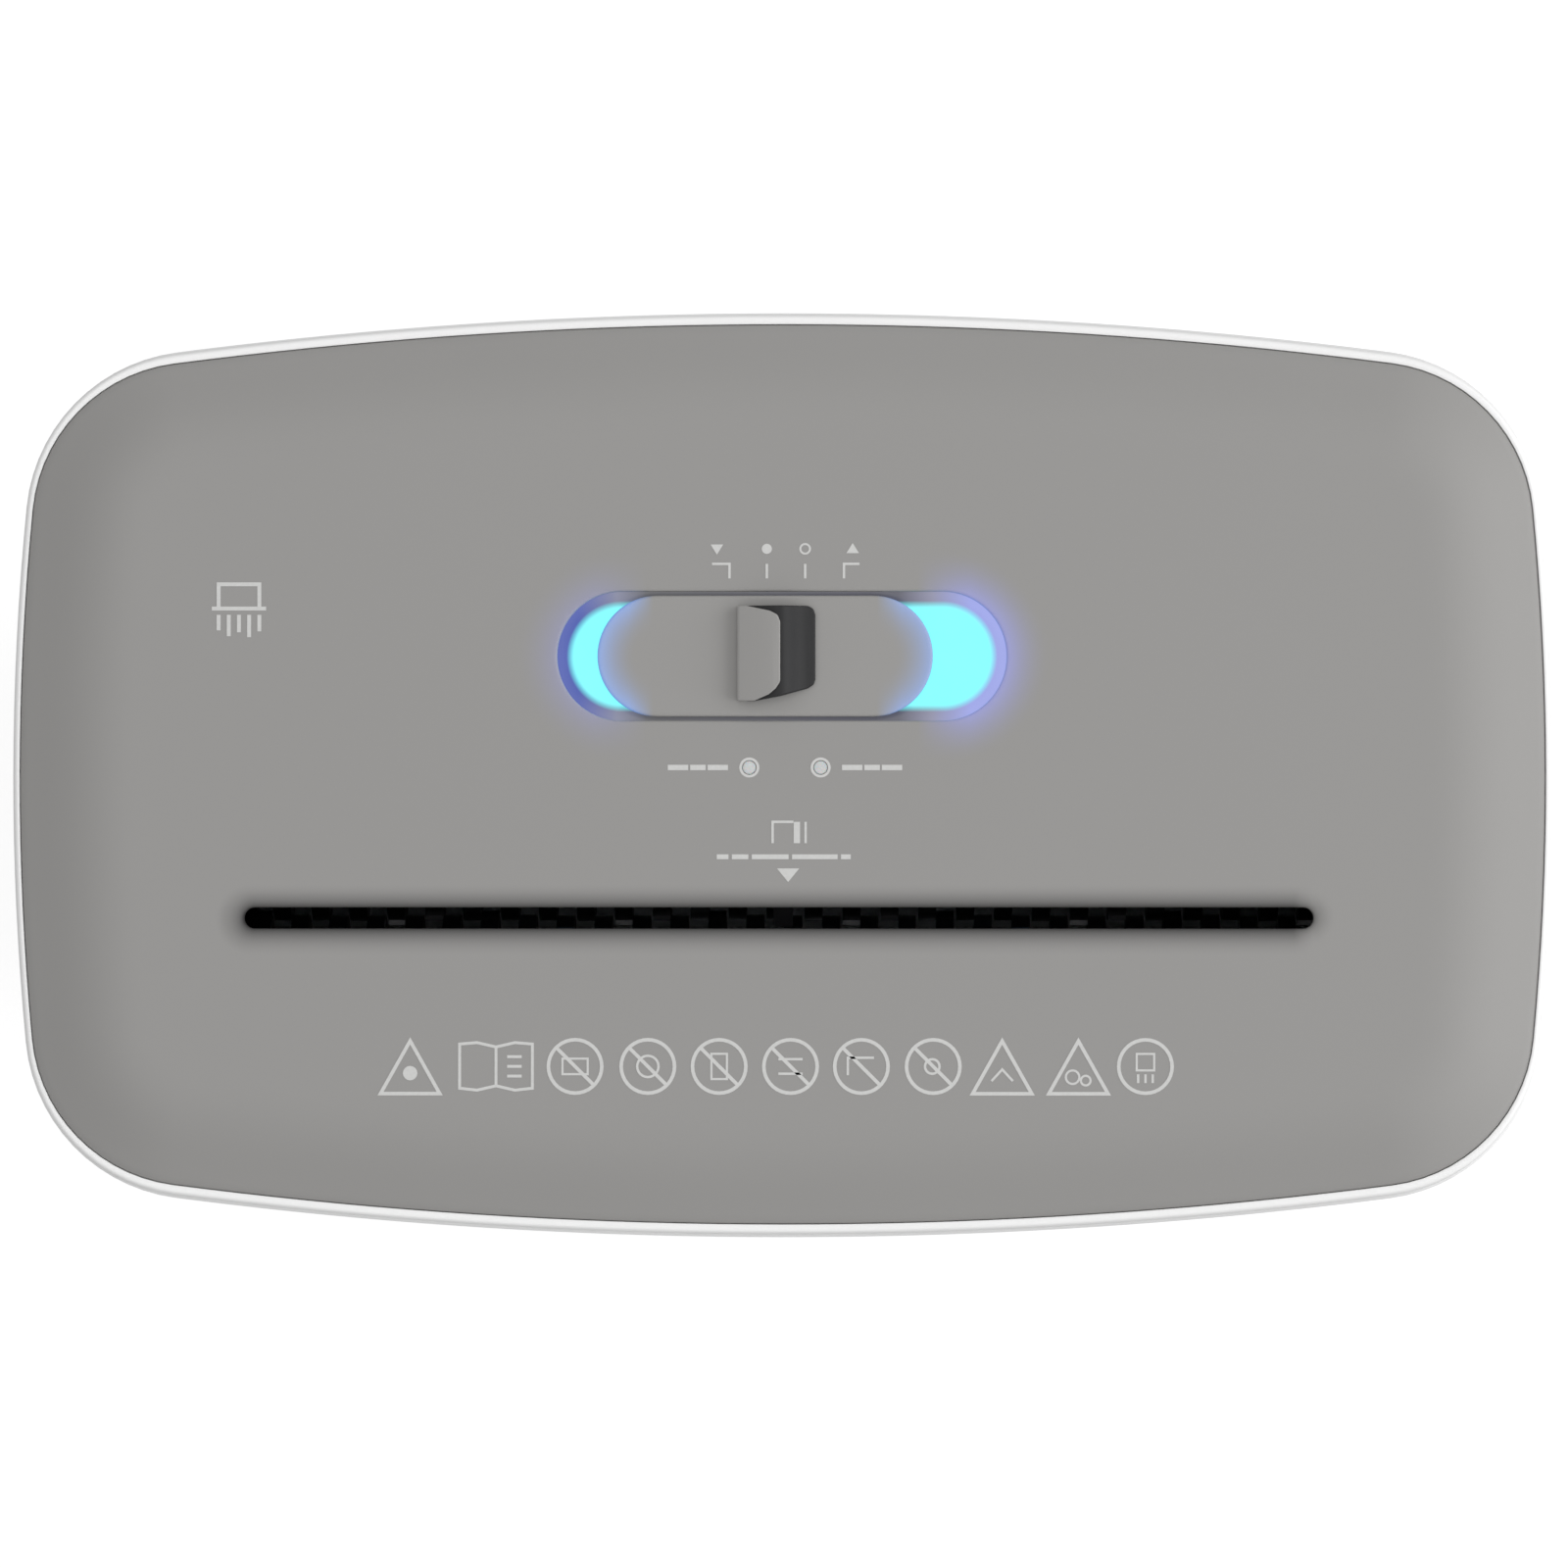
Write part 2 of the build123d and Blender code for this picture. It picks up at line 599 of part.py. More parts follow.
def make_head_shell():
    """White walls of the head, with a ledge for the panel, screw bosses and cooling slots at the back."""
    shell = slab(SHELL, SKIRT_Z, SHELL_TOP_Z)
    shell = fillet(shell.faces().sort_by(Axis.Z)[0].edges(), 2.0)
    shell -= slab(inset(SHELL, SHELL_WALL), SKIRT_Z - 1, SHELL_TOP_Z - 3)
    shell -= slab(inset(SHELL, SHELL_WALL + 5), SHELL_TOP_Z - 4, SHELL_TOP_Z + 1)
    for x, y in BOSS_SPOTS:
        boss = post(BOSS_R, FLOOR_Z + FLOOR_T, SHELL_TOP_Z - 3, x, y)
        rib = box(x - 1, x + 1, *sorted((y, y + (24 if y > 0 else -24))), FLOOR_Z + FLOOR_T, SHELL_TOP_Z - 3)
        rib = rib & slab(inset(SHELL, SHELL_WALL / 2), SKIRT_Z, SHELL_TOP_Z)
        shell += boss + rib
        shell -= post(SCREW_R, FLOOR_Z, FLOOR_Z + 18, x, y)
    slots = [box(x - 1.5, x + 1.5, 60, 100, 285, 313) for x in range(20, 117, 8)]
    shell -= slots
    shell -= extrude(Plane.XZ.location * Pos(GLAND_X, GLAND_Z) * Circle(8.0), -100)
    save("head_shell", shell)


def make_base_cover():
    """Underside of the head: a plate with the discharge opening, a short chute and screw holes."""
    cover = slab(inset(SHELL, SHELL_WALL + 0.4), FLOOR_Z, FLOOR_Z + FLOOR_T)
    chute = (-114.0, 114.0, -62.0, 3.0)
    outer = box(chute[0] - 2, chute[1] + 2, chute[2] - 2, chute[3] + 2, FLOOR_Z - 5, FLOOR_Z + 1)
    cover += outer
    cover -= box(*chute, FLOOR_Z - 6, FLOOR_Z + FLOOR_T + 1)
    cover -= box(LOCK_X - 8, LOCK_X + 8, -7, 7, FLOOR_Z - 1, FLOOR_Z + FLOOR_T + 1)
    for x in (-80, 80):
        for y in (-75, 75):
            cover += box(x - 12, x + 12, y - 1, y + 1, FLOOR_Z - 6, FLOOR_Z + 1)
    for x, y in BOSS_SPOTS:
        cover -= post(SCREW_R + 0.3, FLOOR_Z - 1, FLOOR_Z + FLOOR_T + 1, x, y)
    save("base_cover", cover)
    screws = []
    for x, y in BOSS_SPOTS:
        screws.append(post(3.2, FLOOR_Z - 2, FLOOR_Z, x, y) + post(SCREW_R, FLOOR_Z, FLOOR_Z + 16, x, y))
    save("cover_screws", group(screws))


def make_plate_screws():
    """Screws that hold the side plates down to the base cover."""
    screws = []
    top = FLOOR_Z + FLOOR_T + SIDE_T
    for side, rear_y in ((-1, SIDE_REAR_LEFT), (1, SIDE_REAR_RIGHT)):
        for y in side_screw_ys(rear_y):
            x = side * (PLATE_X0 + 6.5)
            screws.append(post(3.0, top, top + 1.8, x, y) + post(SCREW_R, top - SIDE_T, top, x, y))
    save("plate_screws", group(screws))


def make_feed_guides():
    """Black walls that lead the paper from the slot to the cutters."""
    top = PANEL_TOP_Z - PANEL_T
    half = SLOT_W / 2
    ends = (-GUIDE_HALF_L, GUIDE_HALF_L)
    front = box(*ends, SLOT_Y - half - GUIDE_T, SLOT_Y - half, GUIDE_LOW_Z, top)
    front += box(*ends, SLOT_Y - half - 8, SLOT_Y - half, top - 2, top)
    save("front_feed_guide", front)
    rear = box(*ends, SLOT_Y + half, SLOT_Y + half + GUIDE_T, GUIDE_LOW_Z, top)
    rear += box(*ends, SLOT_Y + half, SLOT_Y + half + 8, top - 2, top)
    rear -= box(-3.2, 3.2, SLOT_Y, SLOT_Y + 10, GUIDE_LOW_Z - 1, LEVER_Z + 3)
    save("rear_feed_guide", rear)


# ---------------------------------------------------------------- switch and lamps


def stem_slot(z0, z1):
    """The opening in which the slider's stem travels."""
    reach = STEM / 2 + STEM_GAP
    x0 = PLATE_X + SLIDE_LOW - reach
    x1 = PLATE_X + SLIDE_HIGH + reach
    return box(x0, x1, SWITCH_Y - reach, SWITCH_Y + reach, z0, z1)


def make_switch():
    """Slide switch under the panel, from the lit lens down to the control board."""
    lens_top = PANEL_TOP_Z - PANEL_T
    lens_low = lens_top - LENS_T
    lens = stadium(RECESS_L + 2 * LENS_MARGIN, RECESS_W + 2 * LENS_MARGIN, 0, SWITCH_Y, lens_low, lens_top)
    save("light_lens", lens - stem_slot(lens_low - 1, lens_top + 1))
    half_l, half_w = HOUSING_L / 2, HOUSING_W / 2
    low = lens_low - HOUSING_H
    housing = box(-half_l, half_l, SWITCH_Y - half_w, SWITCH_Y + half_w, low, lens_low)
    housing -= box(-half_l + 3, half_l - 3, SWITCH_Y - half_w + 3, SWITCH_Y + half_w - 3, low + 2, lens_low - 2)
    save("switch_housing", housing - stem_slot(lens_low - 3, lens_low + 1))
    board_low = low - BOARD_T
    save("control_board", box(-50, 50, SWITCH_Y - 15, SWITCH_Y + 15, board_low, low))
    lamps = [post(2.5, low, low + 9, x, SWITCH_Y + y) for x in (-42, 42) for y in (-6, 6)]
    save("panel_lamps", group(lamps))
    carrier_low = low + 2.3
    carrier = box(PLATE_X - 11, PLATE_X + 11, SWITCH_Y - 8.5, SWITCH_Y + 8.5, carrier_low, lens_low - 2.3)
    save("slider_carrier", carrier)


def plan_block(plan, low, high):
    """An upright block with a plan given as (x, y) corners."""
    return extrude(Pos(0, 0, low) * make_face(Polyline(*plan, close=True)), high - low)


def drawn(section, plan, low):
    """An (x, z) section drawn along Y and cut to a plan."""
    ys = [y for _, y in plan]
    face = Plane.XZ.offset(-max(ys)).location * make_face(Polyline(*section, close=True))
    return extrude(face, max(ys) - min(ys)) & plan_block(plan, low, GRIP_TOP_Z)


def make_slider():
    """The plate with its thumb ridge, and the dark insert on the ridge's right flank."""
    top = PLATE_LOW_Z + PLATE_T
    plate = stadium(PLATE_L, PLATE_W, PLATE_X, SWITCH_Y, PLATE_LOW_Z, top)
    stem_low = PANEL_TOP_Z - PANEL_T - LENS_T - 2.3
    half = STEM / 2
    plate += box(PLATE_X - half, PLATE_X + half, SWITCH_Y - half, SWITCH_Y + half, stem_low, PLATE_LOW_Z)
    left, right = RIDGE_PLAN[0][0], RIDGE_PLAN[4][0]
    rim_end = left + 2.6
    high = GRIP_TOP_Z
    crest = ((left, top), (left + 0.2, high), (rim_end, high - RIDGE_RIM), (right, high - RIDGE_RIM), (right, top))
    ridge = drawn(crest, RIDGE_PLAN, top)
    save("slider_plate", plate + ridge)
    left, right = GRIP_PLAN[0][0], GRIP_PLAN[4][0]
    flank = [(x, top + z) for x, z in GRIP_HOLLOW]
    insert = drawn(((left, top), (left, flank[0][1]), *flank, (right, top)), GRIP_PLAN, top)
    save("slider_grip", insert - plan_block(RIDGE_PLAN, top, high))


def make_indicators():
    """Two small lenses flush with the panel."""
    low = PANEL_TOP_Z - PANEL_T - 3
    lenses = [post(LAMP_R, low, PANEL_TOP_Z, x, LAMP_Y) for x in LAMP_X]
    save("indicator_lenses", group(lenses))


# ---------------------------------------------------------------- electrics


def make_boards():
    """Power board with its larger parts, and the leads to the motor."""
    floor_top = FLOOR_Z + FLOOR_T
    board_low = floor_top + 5
    board = box(-112, -16, 16, 70, board_low, board_low + BOARD_T)
    feet = [post(2.5, floor_top, board_low, x, y) for x in (-108, -20) for y in (20, 66)]
    save("power_board", board + feet)
    top = board_low + BOARD_T
    relay = box(-104, -80, 24, 40, top, top + 16)
    choke = post(9, top, top + 12, -60, 32) - post(4, top, top + 12, -60, 32)
    capacitor = post(7, top, top + 24, -38, 34)
    bridge = box(-100, -84, 50, 54, top, top + 18)
    terminal = box(-64, -34, 56, 66, top, top + 12)
    save("power_board_parts", group((relay, choke, capacitor, bridge, terminal)))
    leads = []
    for side in (-1, 1):
        y = MOTOR_Y + side * 3
        path = FilletPolyline(
            (-34, 61 + side * 2, top + 8),
            (-20, 61 + side * 2, top + 8),
            (-8, 61 + side * 6, top + 24),
            (8, y + side * 19, MOTOR_Z + 8),
            (30, y + side * 19, MOTOR_Z + 8),
            radius=5.0,
        )
        section = Plane(origin=path @ 0, z_dir=path % 0) * Circle(1.0)
        leads.append(sweep(section, path=path))
    save("motor_leads", group(leads))


def make_cord_gland():
    """Bushing in the back wall through which the mains cord would leave."""
    wall_y = SHELL[1] - GLAND_X**2 / (2 * SHELL[2])
    place = Plane.XZ.offset(-(wall_y - 9)).location * Pos(GLAND_X, GLAND_Z)
    barrel_y = extrude(place * Circle(8.0), -11.5)
    flange = extrude(Plane.XZ.offset(-(wall_y - 9)).location * Pos(GLAND_X, GLAND_Z) * Circle(10.0), -5.0)
    gland = barrel_y + flange - extrude(place * Circle(GLAND_BORE_R), -20)
    save("cord_gland", gland)


def make_interlock():
    """Safety switch on the base cover, with the plunger that the bin's tab presses."""
    body = box(LOCK_X - 8, LOCK_X + 8, -9, 9, 270, 290)
    for side in (-1, 1):
        leg = sorted((side * 8, side * 12))
        body += box(LOCK_X - 8, LOCK_X + 8, *leg, FLOOR_Z + FLOOR_T, 290)
    body -= post(PLUNGER_R + 0.05, 269, 283, LOCK_X, 0)
    save("interlock_switch", body)
    plunger = post(PLUNGER_R, TAB_TOP_Z + 0.3, 276, LOCK_X, 0)
    save("interlock_plunger", fillet(plunger.faces().sort_by(Axis.Z)[0].edges(), 1.0))


def make_sensor():
    """Paper sensor behind the rear guide: a fork that holds a lever whose tip crosses the throat."""
    rear_face = SLOT_Y + SLOT_W / 2 + GUIDE_T
    body = box(-7, 7, rear_face, -4, LEVER_Z + 4, LEVER_Z + 8)
    body += box(-7, 7, -14, -4, LEVER_Z - 6, LEVER_Z + 8)
    for side in (-1, 1):
        cheek = sorted((side * 4.2, side * 7))
        body += box(*cheek, -22, -14, LEVER_Z - 4, LEVER_Z + 4)
    body -= rod_x(1.55, -7, 7, LEVER_Y, LEVER_Z)
    save("paper_sensor", body)
    lever = rod_x(3.0, -2.4, 2.4, LEVER_Y, LEVER_Z) + rod_x(1.5, -6.6, 6.6, LEVER_Y, LEVER_Z)
    tip_y, tip_z = LEVER_TIP
    side = Polyline(
        (LEVER_Y, LEVER_Z + 1.6),
        (tip_y, tip_z + 1.0),
        (tip_y + 0.4, tip_z - 1.2),
        (LEVER_Y, LEVER_Z - 2.0),
        close=True,
    )
    save("paper_sensor_lever", lever + extrude(across(-2.0) * make_face(side), 4.0))


# ---------------------------------------------------------------- bin


def bin_tub(depth, z0):
    """The tapered solid of the bin, further in by depth, from z0 to the rim."""
    return loft([barrel(inset(BIN_FOOT, depth), z0), barrel(inset(BIN_TOP, depth), BIN_RIM_Z)], ruled=True)


def window_prism(margin):
    """The block that cuts the window out of the front wall."""
    plate = RectangleRounded(64 - 2 * margin, 140 - 2 * margin, 12 - margin)
    return extrude(Plane.XZ.location * Pos(0, 130) * plate, 100)


def make_bin():
    """Open tapered bin with a window, an outer lip, an interlock tab and four feet."""
    floor_top = FOOT_H + 3.0
    wall = bin_tub(0.0, FOOT_H) - bin_tub(BIN_WALL, floor_top)
    lip = slab(inset(BIN_TOP, -3.0), BIN_RIM_Z - 4, BIN_RIM_Z) - slab(inset(BIN_TOP, 0.3), BIN_RIM_Z - 4, BIN_RIM_Z)
    tab = box(LOCK_X - 6, LOCK_X + 5, -4, 4, 235, TAB_TOP_Z)
    save("waste_bin", wall - window_prism(0.0) + lip + tab)
    save("bin_window", (wall & window_prism(0.15)))
    feet = [post(10.0, 0, FOOT_H, x, y) for x in (-105, 105) for y in (-48, 48)]
    save("bin_feet", group(fillet(foot.faces().sort_by(Axis.Z)[0].edges(), 1.0) for foot in feet))


def main():
    os.makedirs("parts", exist_ok=True)
    make_bin()
    make_head_shell()
    make_base_cover()
    make_trim_ring()
    make_top_panel()
    make_feed_guides()
    make_switch()
    make_slider()
    make_indicators()
    make_side_plates()
    make_tie_rods()
    make_plate_screws()
    make_bushes()
    make_cutters()
    make_combs()
    make_sync_gears()
    make_drive_gear()
    make_reduction_gears()
    make_gear_pins()
    make_gear_cover()
    make_motor_case()
    make_rotor()
    make_boards()
    make_cord_gland()
    make_interlock()
    make_sensor()


main()
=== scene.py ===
"""Looks for a desk-side paper shredder, laid out as an add-on and run as a script."""

from math import acos, atan2, cos, hypot, pi, radians, sin, sqrt

import bmesh
import bpy
from mathutils import Matrix, Vector


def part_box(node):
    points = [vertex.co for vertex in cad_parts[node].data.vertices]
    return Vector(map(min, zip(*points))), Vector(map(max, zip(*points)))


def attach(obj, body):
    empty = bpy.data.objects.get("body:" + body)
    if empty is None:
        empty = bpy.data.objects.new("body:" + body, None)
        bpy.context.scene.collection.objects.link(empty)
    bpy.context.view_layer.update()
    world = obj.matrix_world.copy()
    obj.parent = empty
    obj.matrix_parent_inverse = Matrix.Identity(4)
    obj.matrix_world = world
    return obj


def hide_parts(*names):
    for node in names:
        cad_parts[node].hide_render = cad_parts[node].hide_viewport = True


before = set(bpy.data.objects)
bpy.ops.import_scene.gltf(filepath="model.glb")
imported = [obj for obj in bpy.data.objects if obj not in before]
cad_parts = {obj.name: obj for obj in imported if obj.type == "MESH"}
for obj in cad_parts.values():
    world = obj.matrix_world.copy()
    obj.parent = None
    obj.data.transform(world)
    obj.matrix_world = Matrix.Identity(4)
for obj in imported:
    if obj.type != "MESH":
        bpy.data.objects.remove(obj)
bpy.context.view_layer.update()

bl_info = {
    "name": "Paper Shredder",
    "version": (1, 0, 0),
    "blender": (4, 5, 0),
    "location": "View3D > Sidebar > Shredder",
    "description": "Builds the visible pieces of a paper shredder round its engineering model",
    "category": "Object",
}

MM = 0.001


def node_span(node, axis):
    """A node's lowest and highest value along an axis."""
    low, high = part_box(node)
    return low[axis], high[axis]


def node_middle(node, axis):
    """The middle of a node along an axis."""
    return sum(node_span(node, axis)) / 2


def half_size(node):
    """A node's half width and half depth."""
    low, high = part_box(node)
    return (high[0] - low[0]) / 2, (high[1] - low[1]) / 2


# ------------------------------------------------------------------ settings


def length(name, description, default):
    """A property that holds a length in metres."""
    return bpy.props.FloatProperty(
        name=name, description=description, default=default, unit="LENGTH", precision=5
    )


def colour(name, description, default):
    """A property that holds a colour."""
    return bpy.props.FloatVectorProperty(
        name=name, description=description, default=default, subtype="COLOR", size=3, min=0.0, max=1.0
    )


class ShredderSizes(bpy.types.PropertyGroup):
    """Sizes of the visible shapes"""

    long_radius: length("Front radius", "Radius of the front and back of the shell", 986 * MM)
    side_radius: length("Side radius", "Radius of the left and right of the shell", 576 * MM)
    corner_radius: length("Corner radius", "Radius of the shell's corners", 36 * MM)
    roll_flat: length("Edge slope width", "Width of the even slope at the panel's edge", 5 * MM)
    roll_blend: length("Edge blend width", "Width over which the slope levels out", 20 * MM)
    roll_drop: length("Edge drop", "How far the panel's edge lies below its middle", 7.6 * MM)
    slot_length: length("Slot length", "Length of the feed slot", 221.4 * MM)
    slot_width: length("Slot width", "Width of the feed slot", 5 * MM)
    slot_lip: length("Slot lip width", "Width of the slot's rolled lip", 3.9 * MM)
    slot_roll: length("Slot lip depth", "Depth of the slot's rolled lip", 2.5 * MM)
    recess_lip: length("Recess lip", "Radius of the switch opening's edge", 0.45 * MM)
    rim_round: length("Rim rounding", "Width of the rounding on the white rim", 0.9 * MM)
    mark_width: length("Mark width", "Line width of the printed symbols", 0.74 * MM)
    mark_height: length("Mark height", "Thickness of the printed symbols", 0.05 * MM)
    bin_drop: length("Bin taper", "How much narrower the bin is at its foot, each side", 13 * MM)
    bin_wall: length("Bin wall", "Thickness of the bin's wall", 2.5 * MM)


class ShredderColours(bpy.types.PropertyGroup):
    """Colours of the finishes"""

    grey: colour("Panel grey", "Warm grey of the top panel", (0.281, 0.276, 0.269))
    white: colour("White", "White of the rim, shell and bin", (0.82, 0.82, 0.818))
    charcoal: colour("Charcoal", "Dark insert of the thumb grip", (0.013, 0.013, 0.014))
    black: colour("Black", "Guides, combs and housings", (0.016, 0.016, 0.018))
    glow: colour("Switch light", "Light behind the lens", (0.19, 0.95, 0.98))
    # Painted shade and light: the lens border's glow is dark blue at the left and pale blue at the right.
    border_painted_shade: colour("Left border", "Deep light at the left of the lens's border", (0.045, 0.08, 0.38))
    border_painted_light: colour("Right border", "Pale light at the right of the lens's border", (0.3, 0.34, 0.74))
    # Painted glow: the panel emits this blue light beside the lens, though the panel is no lamp.
    painted_halo: colour("Halo", "Light that shines through the panel beside the lens", (0.1, 0.15, 1.0))
    # Painted glow: the slider plate emits this blue light at its ends.
    painted_spill: colour("Spill", "Light that the lens throws on the slider's ends", (0.0, 0.27, 1.0))
    mark: colour("Marks", "Printed symbols", (0.55, 0.55, 0.54))
    smoke: colour("Window", "Smoked window of the bin", (0.30, 0.32, 0.34))


class ShredderStage(bpy.types.PropertyGroup):
    """Camera, floor and lights"""

    camera_height: length("Camera height", "Distance of the camera above the panel", 2.2)
    view_width: length("View width", "Width that the camera takes in at the panel", 323.2 * MM)
    lean_right: bpy.props.FloatProperty(
        name="Lean right", description="Camera's lean to the right", default=radians(0.6), subtype="ANGLE"
    )
    lean_front: bpy.props.FloatProperty(
        name="Lean front", description="Camera's lean to the front", default=radians(1.0), subtype="ANGLE"
    )
    key_power: bpy.props.FloatProperty(name="Key light", description="Watts of the light at the right", default=53.0)
    top_power: bpy.props.FloatProperty(name="Top light", description="Watts of the light above", default=17.0)
    sky: bpy.props.FloatProperty(name="Sky", description="Strength of the even light", default=0.62)


# ------------------------------------------------------------------ outlines


def barrel_rays(half_w, half_d, long_r, side_r, corner_r, stops=()):
    """Rays (centre x, centre y, radius, angle) that end on an outline of four shallow arcs and four corners.

    A shorter ray ends on the parallel outline further in, so outlines of the same rays match point for point.
    Each stop is a distance from the middle at which the front and back arcs get a ray of their own."""
    run, rise = side_r - half_w, long_r - half_d
    side_reach, long_reach = side_r - corner_r, long_r - corner_r
    span = hypot(run, rise)
    along = (side_reach**2 - long_reach**2 + span**2) / (2 * span)
    off = sqrt(side_reach**2 - along**2)
    x = -run + (along * run + off * rise) / span
    y = (-along * rise + off * run) / span
    side_end = atan2(y, x + run)
    long_end = atan2(y + rise, x)
    side_steps, corner_steps, long_steps = 8, 14, 18
    quarter = [(-run, 0.0, side_r, side_end * i / side_steps) for i in range(side_steps)]
    for i in range(corner_steps):
        quarter.append((x, y, corner_r, side_end + (long_end - side_end) * i / corner_steps))
    angles = {round(long_end + (pi / 2 - long_end) * i / long_steps, 6) for i in range(long_steps)}
    marked = {round(acos(stop / long_r), 6) for stop in stops}
    angles = {a for a in angles if all(abs(a - m) > 0.0008 for m in marked)} | marked
    quarter += [(0.0, -rise, long_r, a) for a in sorted(angles)]
    top = [(0.0, -rise, long_r, pi / 2)]
    left = [(-cx, cy, r, pi - a) for cx, cy, r, a in reversed(quarter[1:])]
    half = quarter + top + left + [(run, 0.0, side_r, pi)]
    lower = [(cx, -cy, r, -a) for cx, cy, r, a in reversed(half[1:-1])]
    return half + lower


def loop_at(rays, inset, z):
    """Points on the outline that lies further in by inset, at a height."""
    return [Vector((cx + (r - inset) * cos(a), cy + (r - inset) * sin(a), z)) for cx, cy, r, a in rays]


def stadium_loop(x, y, half_straight, radius, z, steps=14):
    """A loop with two straight sides and half-round ends."""
    points = []
    for side in (1, -1):
        for step in range(steps + 1):
            angle = pi / 2 * (2 * step / steps - 1) if side > 0 else pi / 2 + pi * step / steps
            points.append(Vector((x + side * half_straight + radius * cos(angle), y + radius * sin(angle), z)))
    return points


def full_turn(steps):
    """Angles all the way round, in even steps."""
    return [2 * pi * step / steps for step in range(steps)]


def circle_loop(x, y, radius, z, steps=20):
    """A round loop."""
    return [Vector((x + radius * cos(t), y + radius * sin(t), z)) for t in full_turn(steps)]


def rect_loop(x0, x1, y0, y1, z):
    """A rectangular loop."""
    return [Vector(p) for p in ((x0, y0, z), (x1, y0, z), (x1, y1, z), (x0, y1, z))]


def upper_round(inset, top, width, height, turns):
    """Insets and heights of a rounded upper edge, from its side towards its top."""
    return [(inset + width * (1 - cos(t)), top - height * (1 - sin(t))) for t in turns]


# ------------------------------------------------------------------ meshes


def add_object(name, data):
    """A new object in the scene."""
    made = bpy.data.objects.new(name, data)
    bpy.context.scene.collection.objects.link(made)
    return made


class Skin:
    """A mesh made from rings of points."""

    def __init__(self):
        self.mesh = bmesh.new()

    def ring(self, points):
        """New vertices at the points."""
        return [self.mesh.verts.new(p) for p in points]

    def bridge(self, first, second):
        """A band of faces between two rings of the same length."""
        count = len(first)
        for i in range(count):
            j = (i + 1) % count
            self.mesh.faces.new((first[i], first[j], second[j], second[i]))

    def tower(self, loops):
        """Rings joined one after another; the rings are returned."""
        rings = [self.ring(points) for points in loops]
        for first, second in zip(rings, rings[1:]):
            self.bridge(first, second)
        return rings

    def fill(self, *rings):
        """A flat face between an outer ring and any holes."""
        edges = []
        for ring in rings:
            for i, vert in enumerate(ring):
                pair = (vert, ring[(i + 1) % len(ring)])
                edges.append(self.mesh.edges.get(pair) or self.mesh.edges.new(pair))
        bmesh.ops.triangle_fill(self.mesh, edges=edges, use_beauty=True, use_dissolve=False)

    def cap(self, ring):
        """One face across a ring."""
        self.mesh.faces.new(ring)

    def block(self, loops):
        """A tower that is closed at both ends."""
        rings = self.tower(loops)
        self.cap(rings[0])
        self.cap(rings[-1])

    def wall(self, outer, inner, is_open):
        """A wall between two sets of rings, without the cells that are open, whose edges are closed."""
        rows, count = len(outer) - 1, len(outer[0])
        for row in range(rows):
            for col in range(count):
                if is_open(row, col):
                    continue
                nxt = (col + 1) % count
                corners = [(row, col), (row, nxt), (row + 1, nxt), (row + 1, col)]
                self.mesh.faces.new([outer[r][c] for r, c in corners])
                self.mesh.faces.new([inner[r][c] for r, c in reversed(corners)])
                beside = [(row - 1, col), (row, nxt), (row + 1, col), (row, (col - 1) % count)]
                for side, (r, c) in enumerate(beside):
                    if 0 <= r < rows and is_open(r, c):
                        (ar, ac), (br, bc) = corners[side], corners[(side + 1) % 4]
                        self.mesh.faces.new((outer[ar][ac], inner[ar][ac], inner[br][bc], outer[br][bc]))

    def trim(self, point, normal):
        """Cuts away what lies beyond a plane and closes the cut."""
        geometry = self.mesh.verts[:] + self.mesh.edges[:] + self.mesh.faces[:]
        cut = bmesh.ops.bisect_plane(
            self.mesh, geom=geometry, plane_co=point, plane_no=normal, clear_outer=True, dist=1e-7
        )
        edges = [g for g in cut["geom_cut"] if isinstance(g, bmesh.types.BMEdge)]
        bmesh.ops.edgeloop_fill(self.mesh, edges=edges)

    def piece(self, name, finish, crease=radians(32)):
        """The finished object, smooth but for edges sharper than the crease."""
        bmesh.ops.remove_doubles(self.mesh, verts=self.mesh.verts[:], dist=1e-6)
        bmesh.ops.recalc_face_normals(self.mesh, faces=self.mesh.faces[:])
        for face in self.mesh.faces:
            face.smooth = True
        for edge in self.mesh.edges:
            if len(edge.link_faces) == 2 and edge.calc_face_angle(0.0) > crease:
                edge.smooth = False
        data = bpy.data.meshes.new(name)
        self.mesh.to_mesh(data)
        self.mesh.free()
        data.materials.append(finish)
        return add_object(name, data)


def prism(section, y0, y1):
    """A skin with a closed (x, z) section drawn out along Y."""
    skin = Skin()
    front, back = skin.tower([[Vector((x, y, z)) for x, z in section] for y in (y0, y1)])
    skin.cap(list(reversed(front)))
    skin.cap(back)
    return skin


def soften(made, width, segments=3):
    """Rounds a piece's sharp edges."""
    bevel = made.modifiers.new("Rounding", "BEVEL")
    bevel.width = width
    bevel.segments = segments
    bevel.limit_method = "ANGLE"
    bevel.angle_limit = radians(28)
    bevel.harden_normals = True


def place(made, body, slot, *nodes):
    """Puts a piece on its body and hides the nodes that it stands for; the slot is not used."""
    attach(made, body)
    if nodes:
        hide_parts(*nodes)


# ------------------------------------------------------------------ finishes


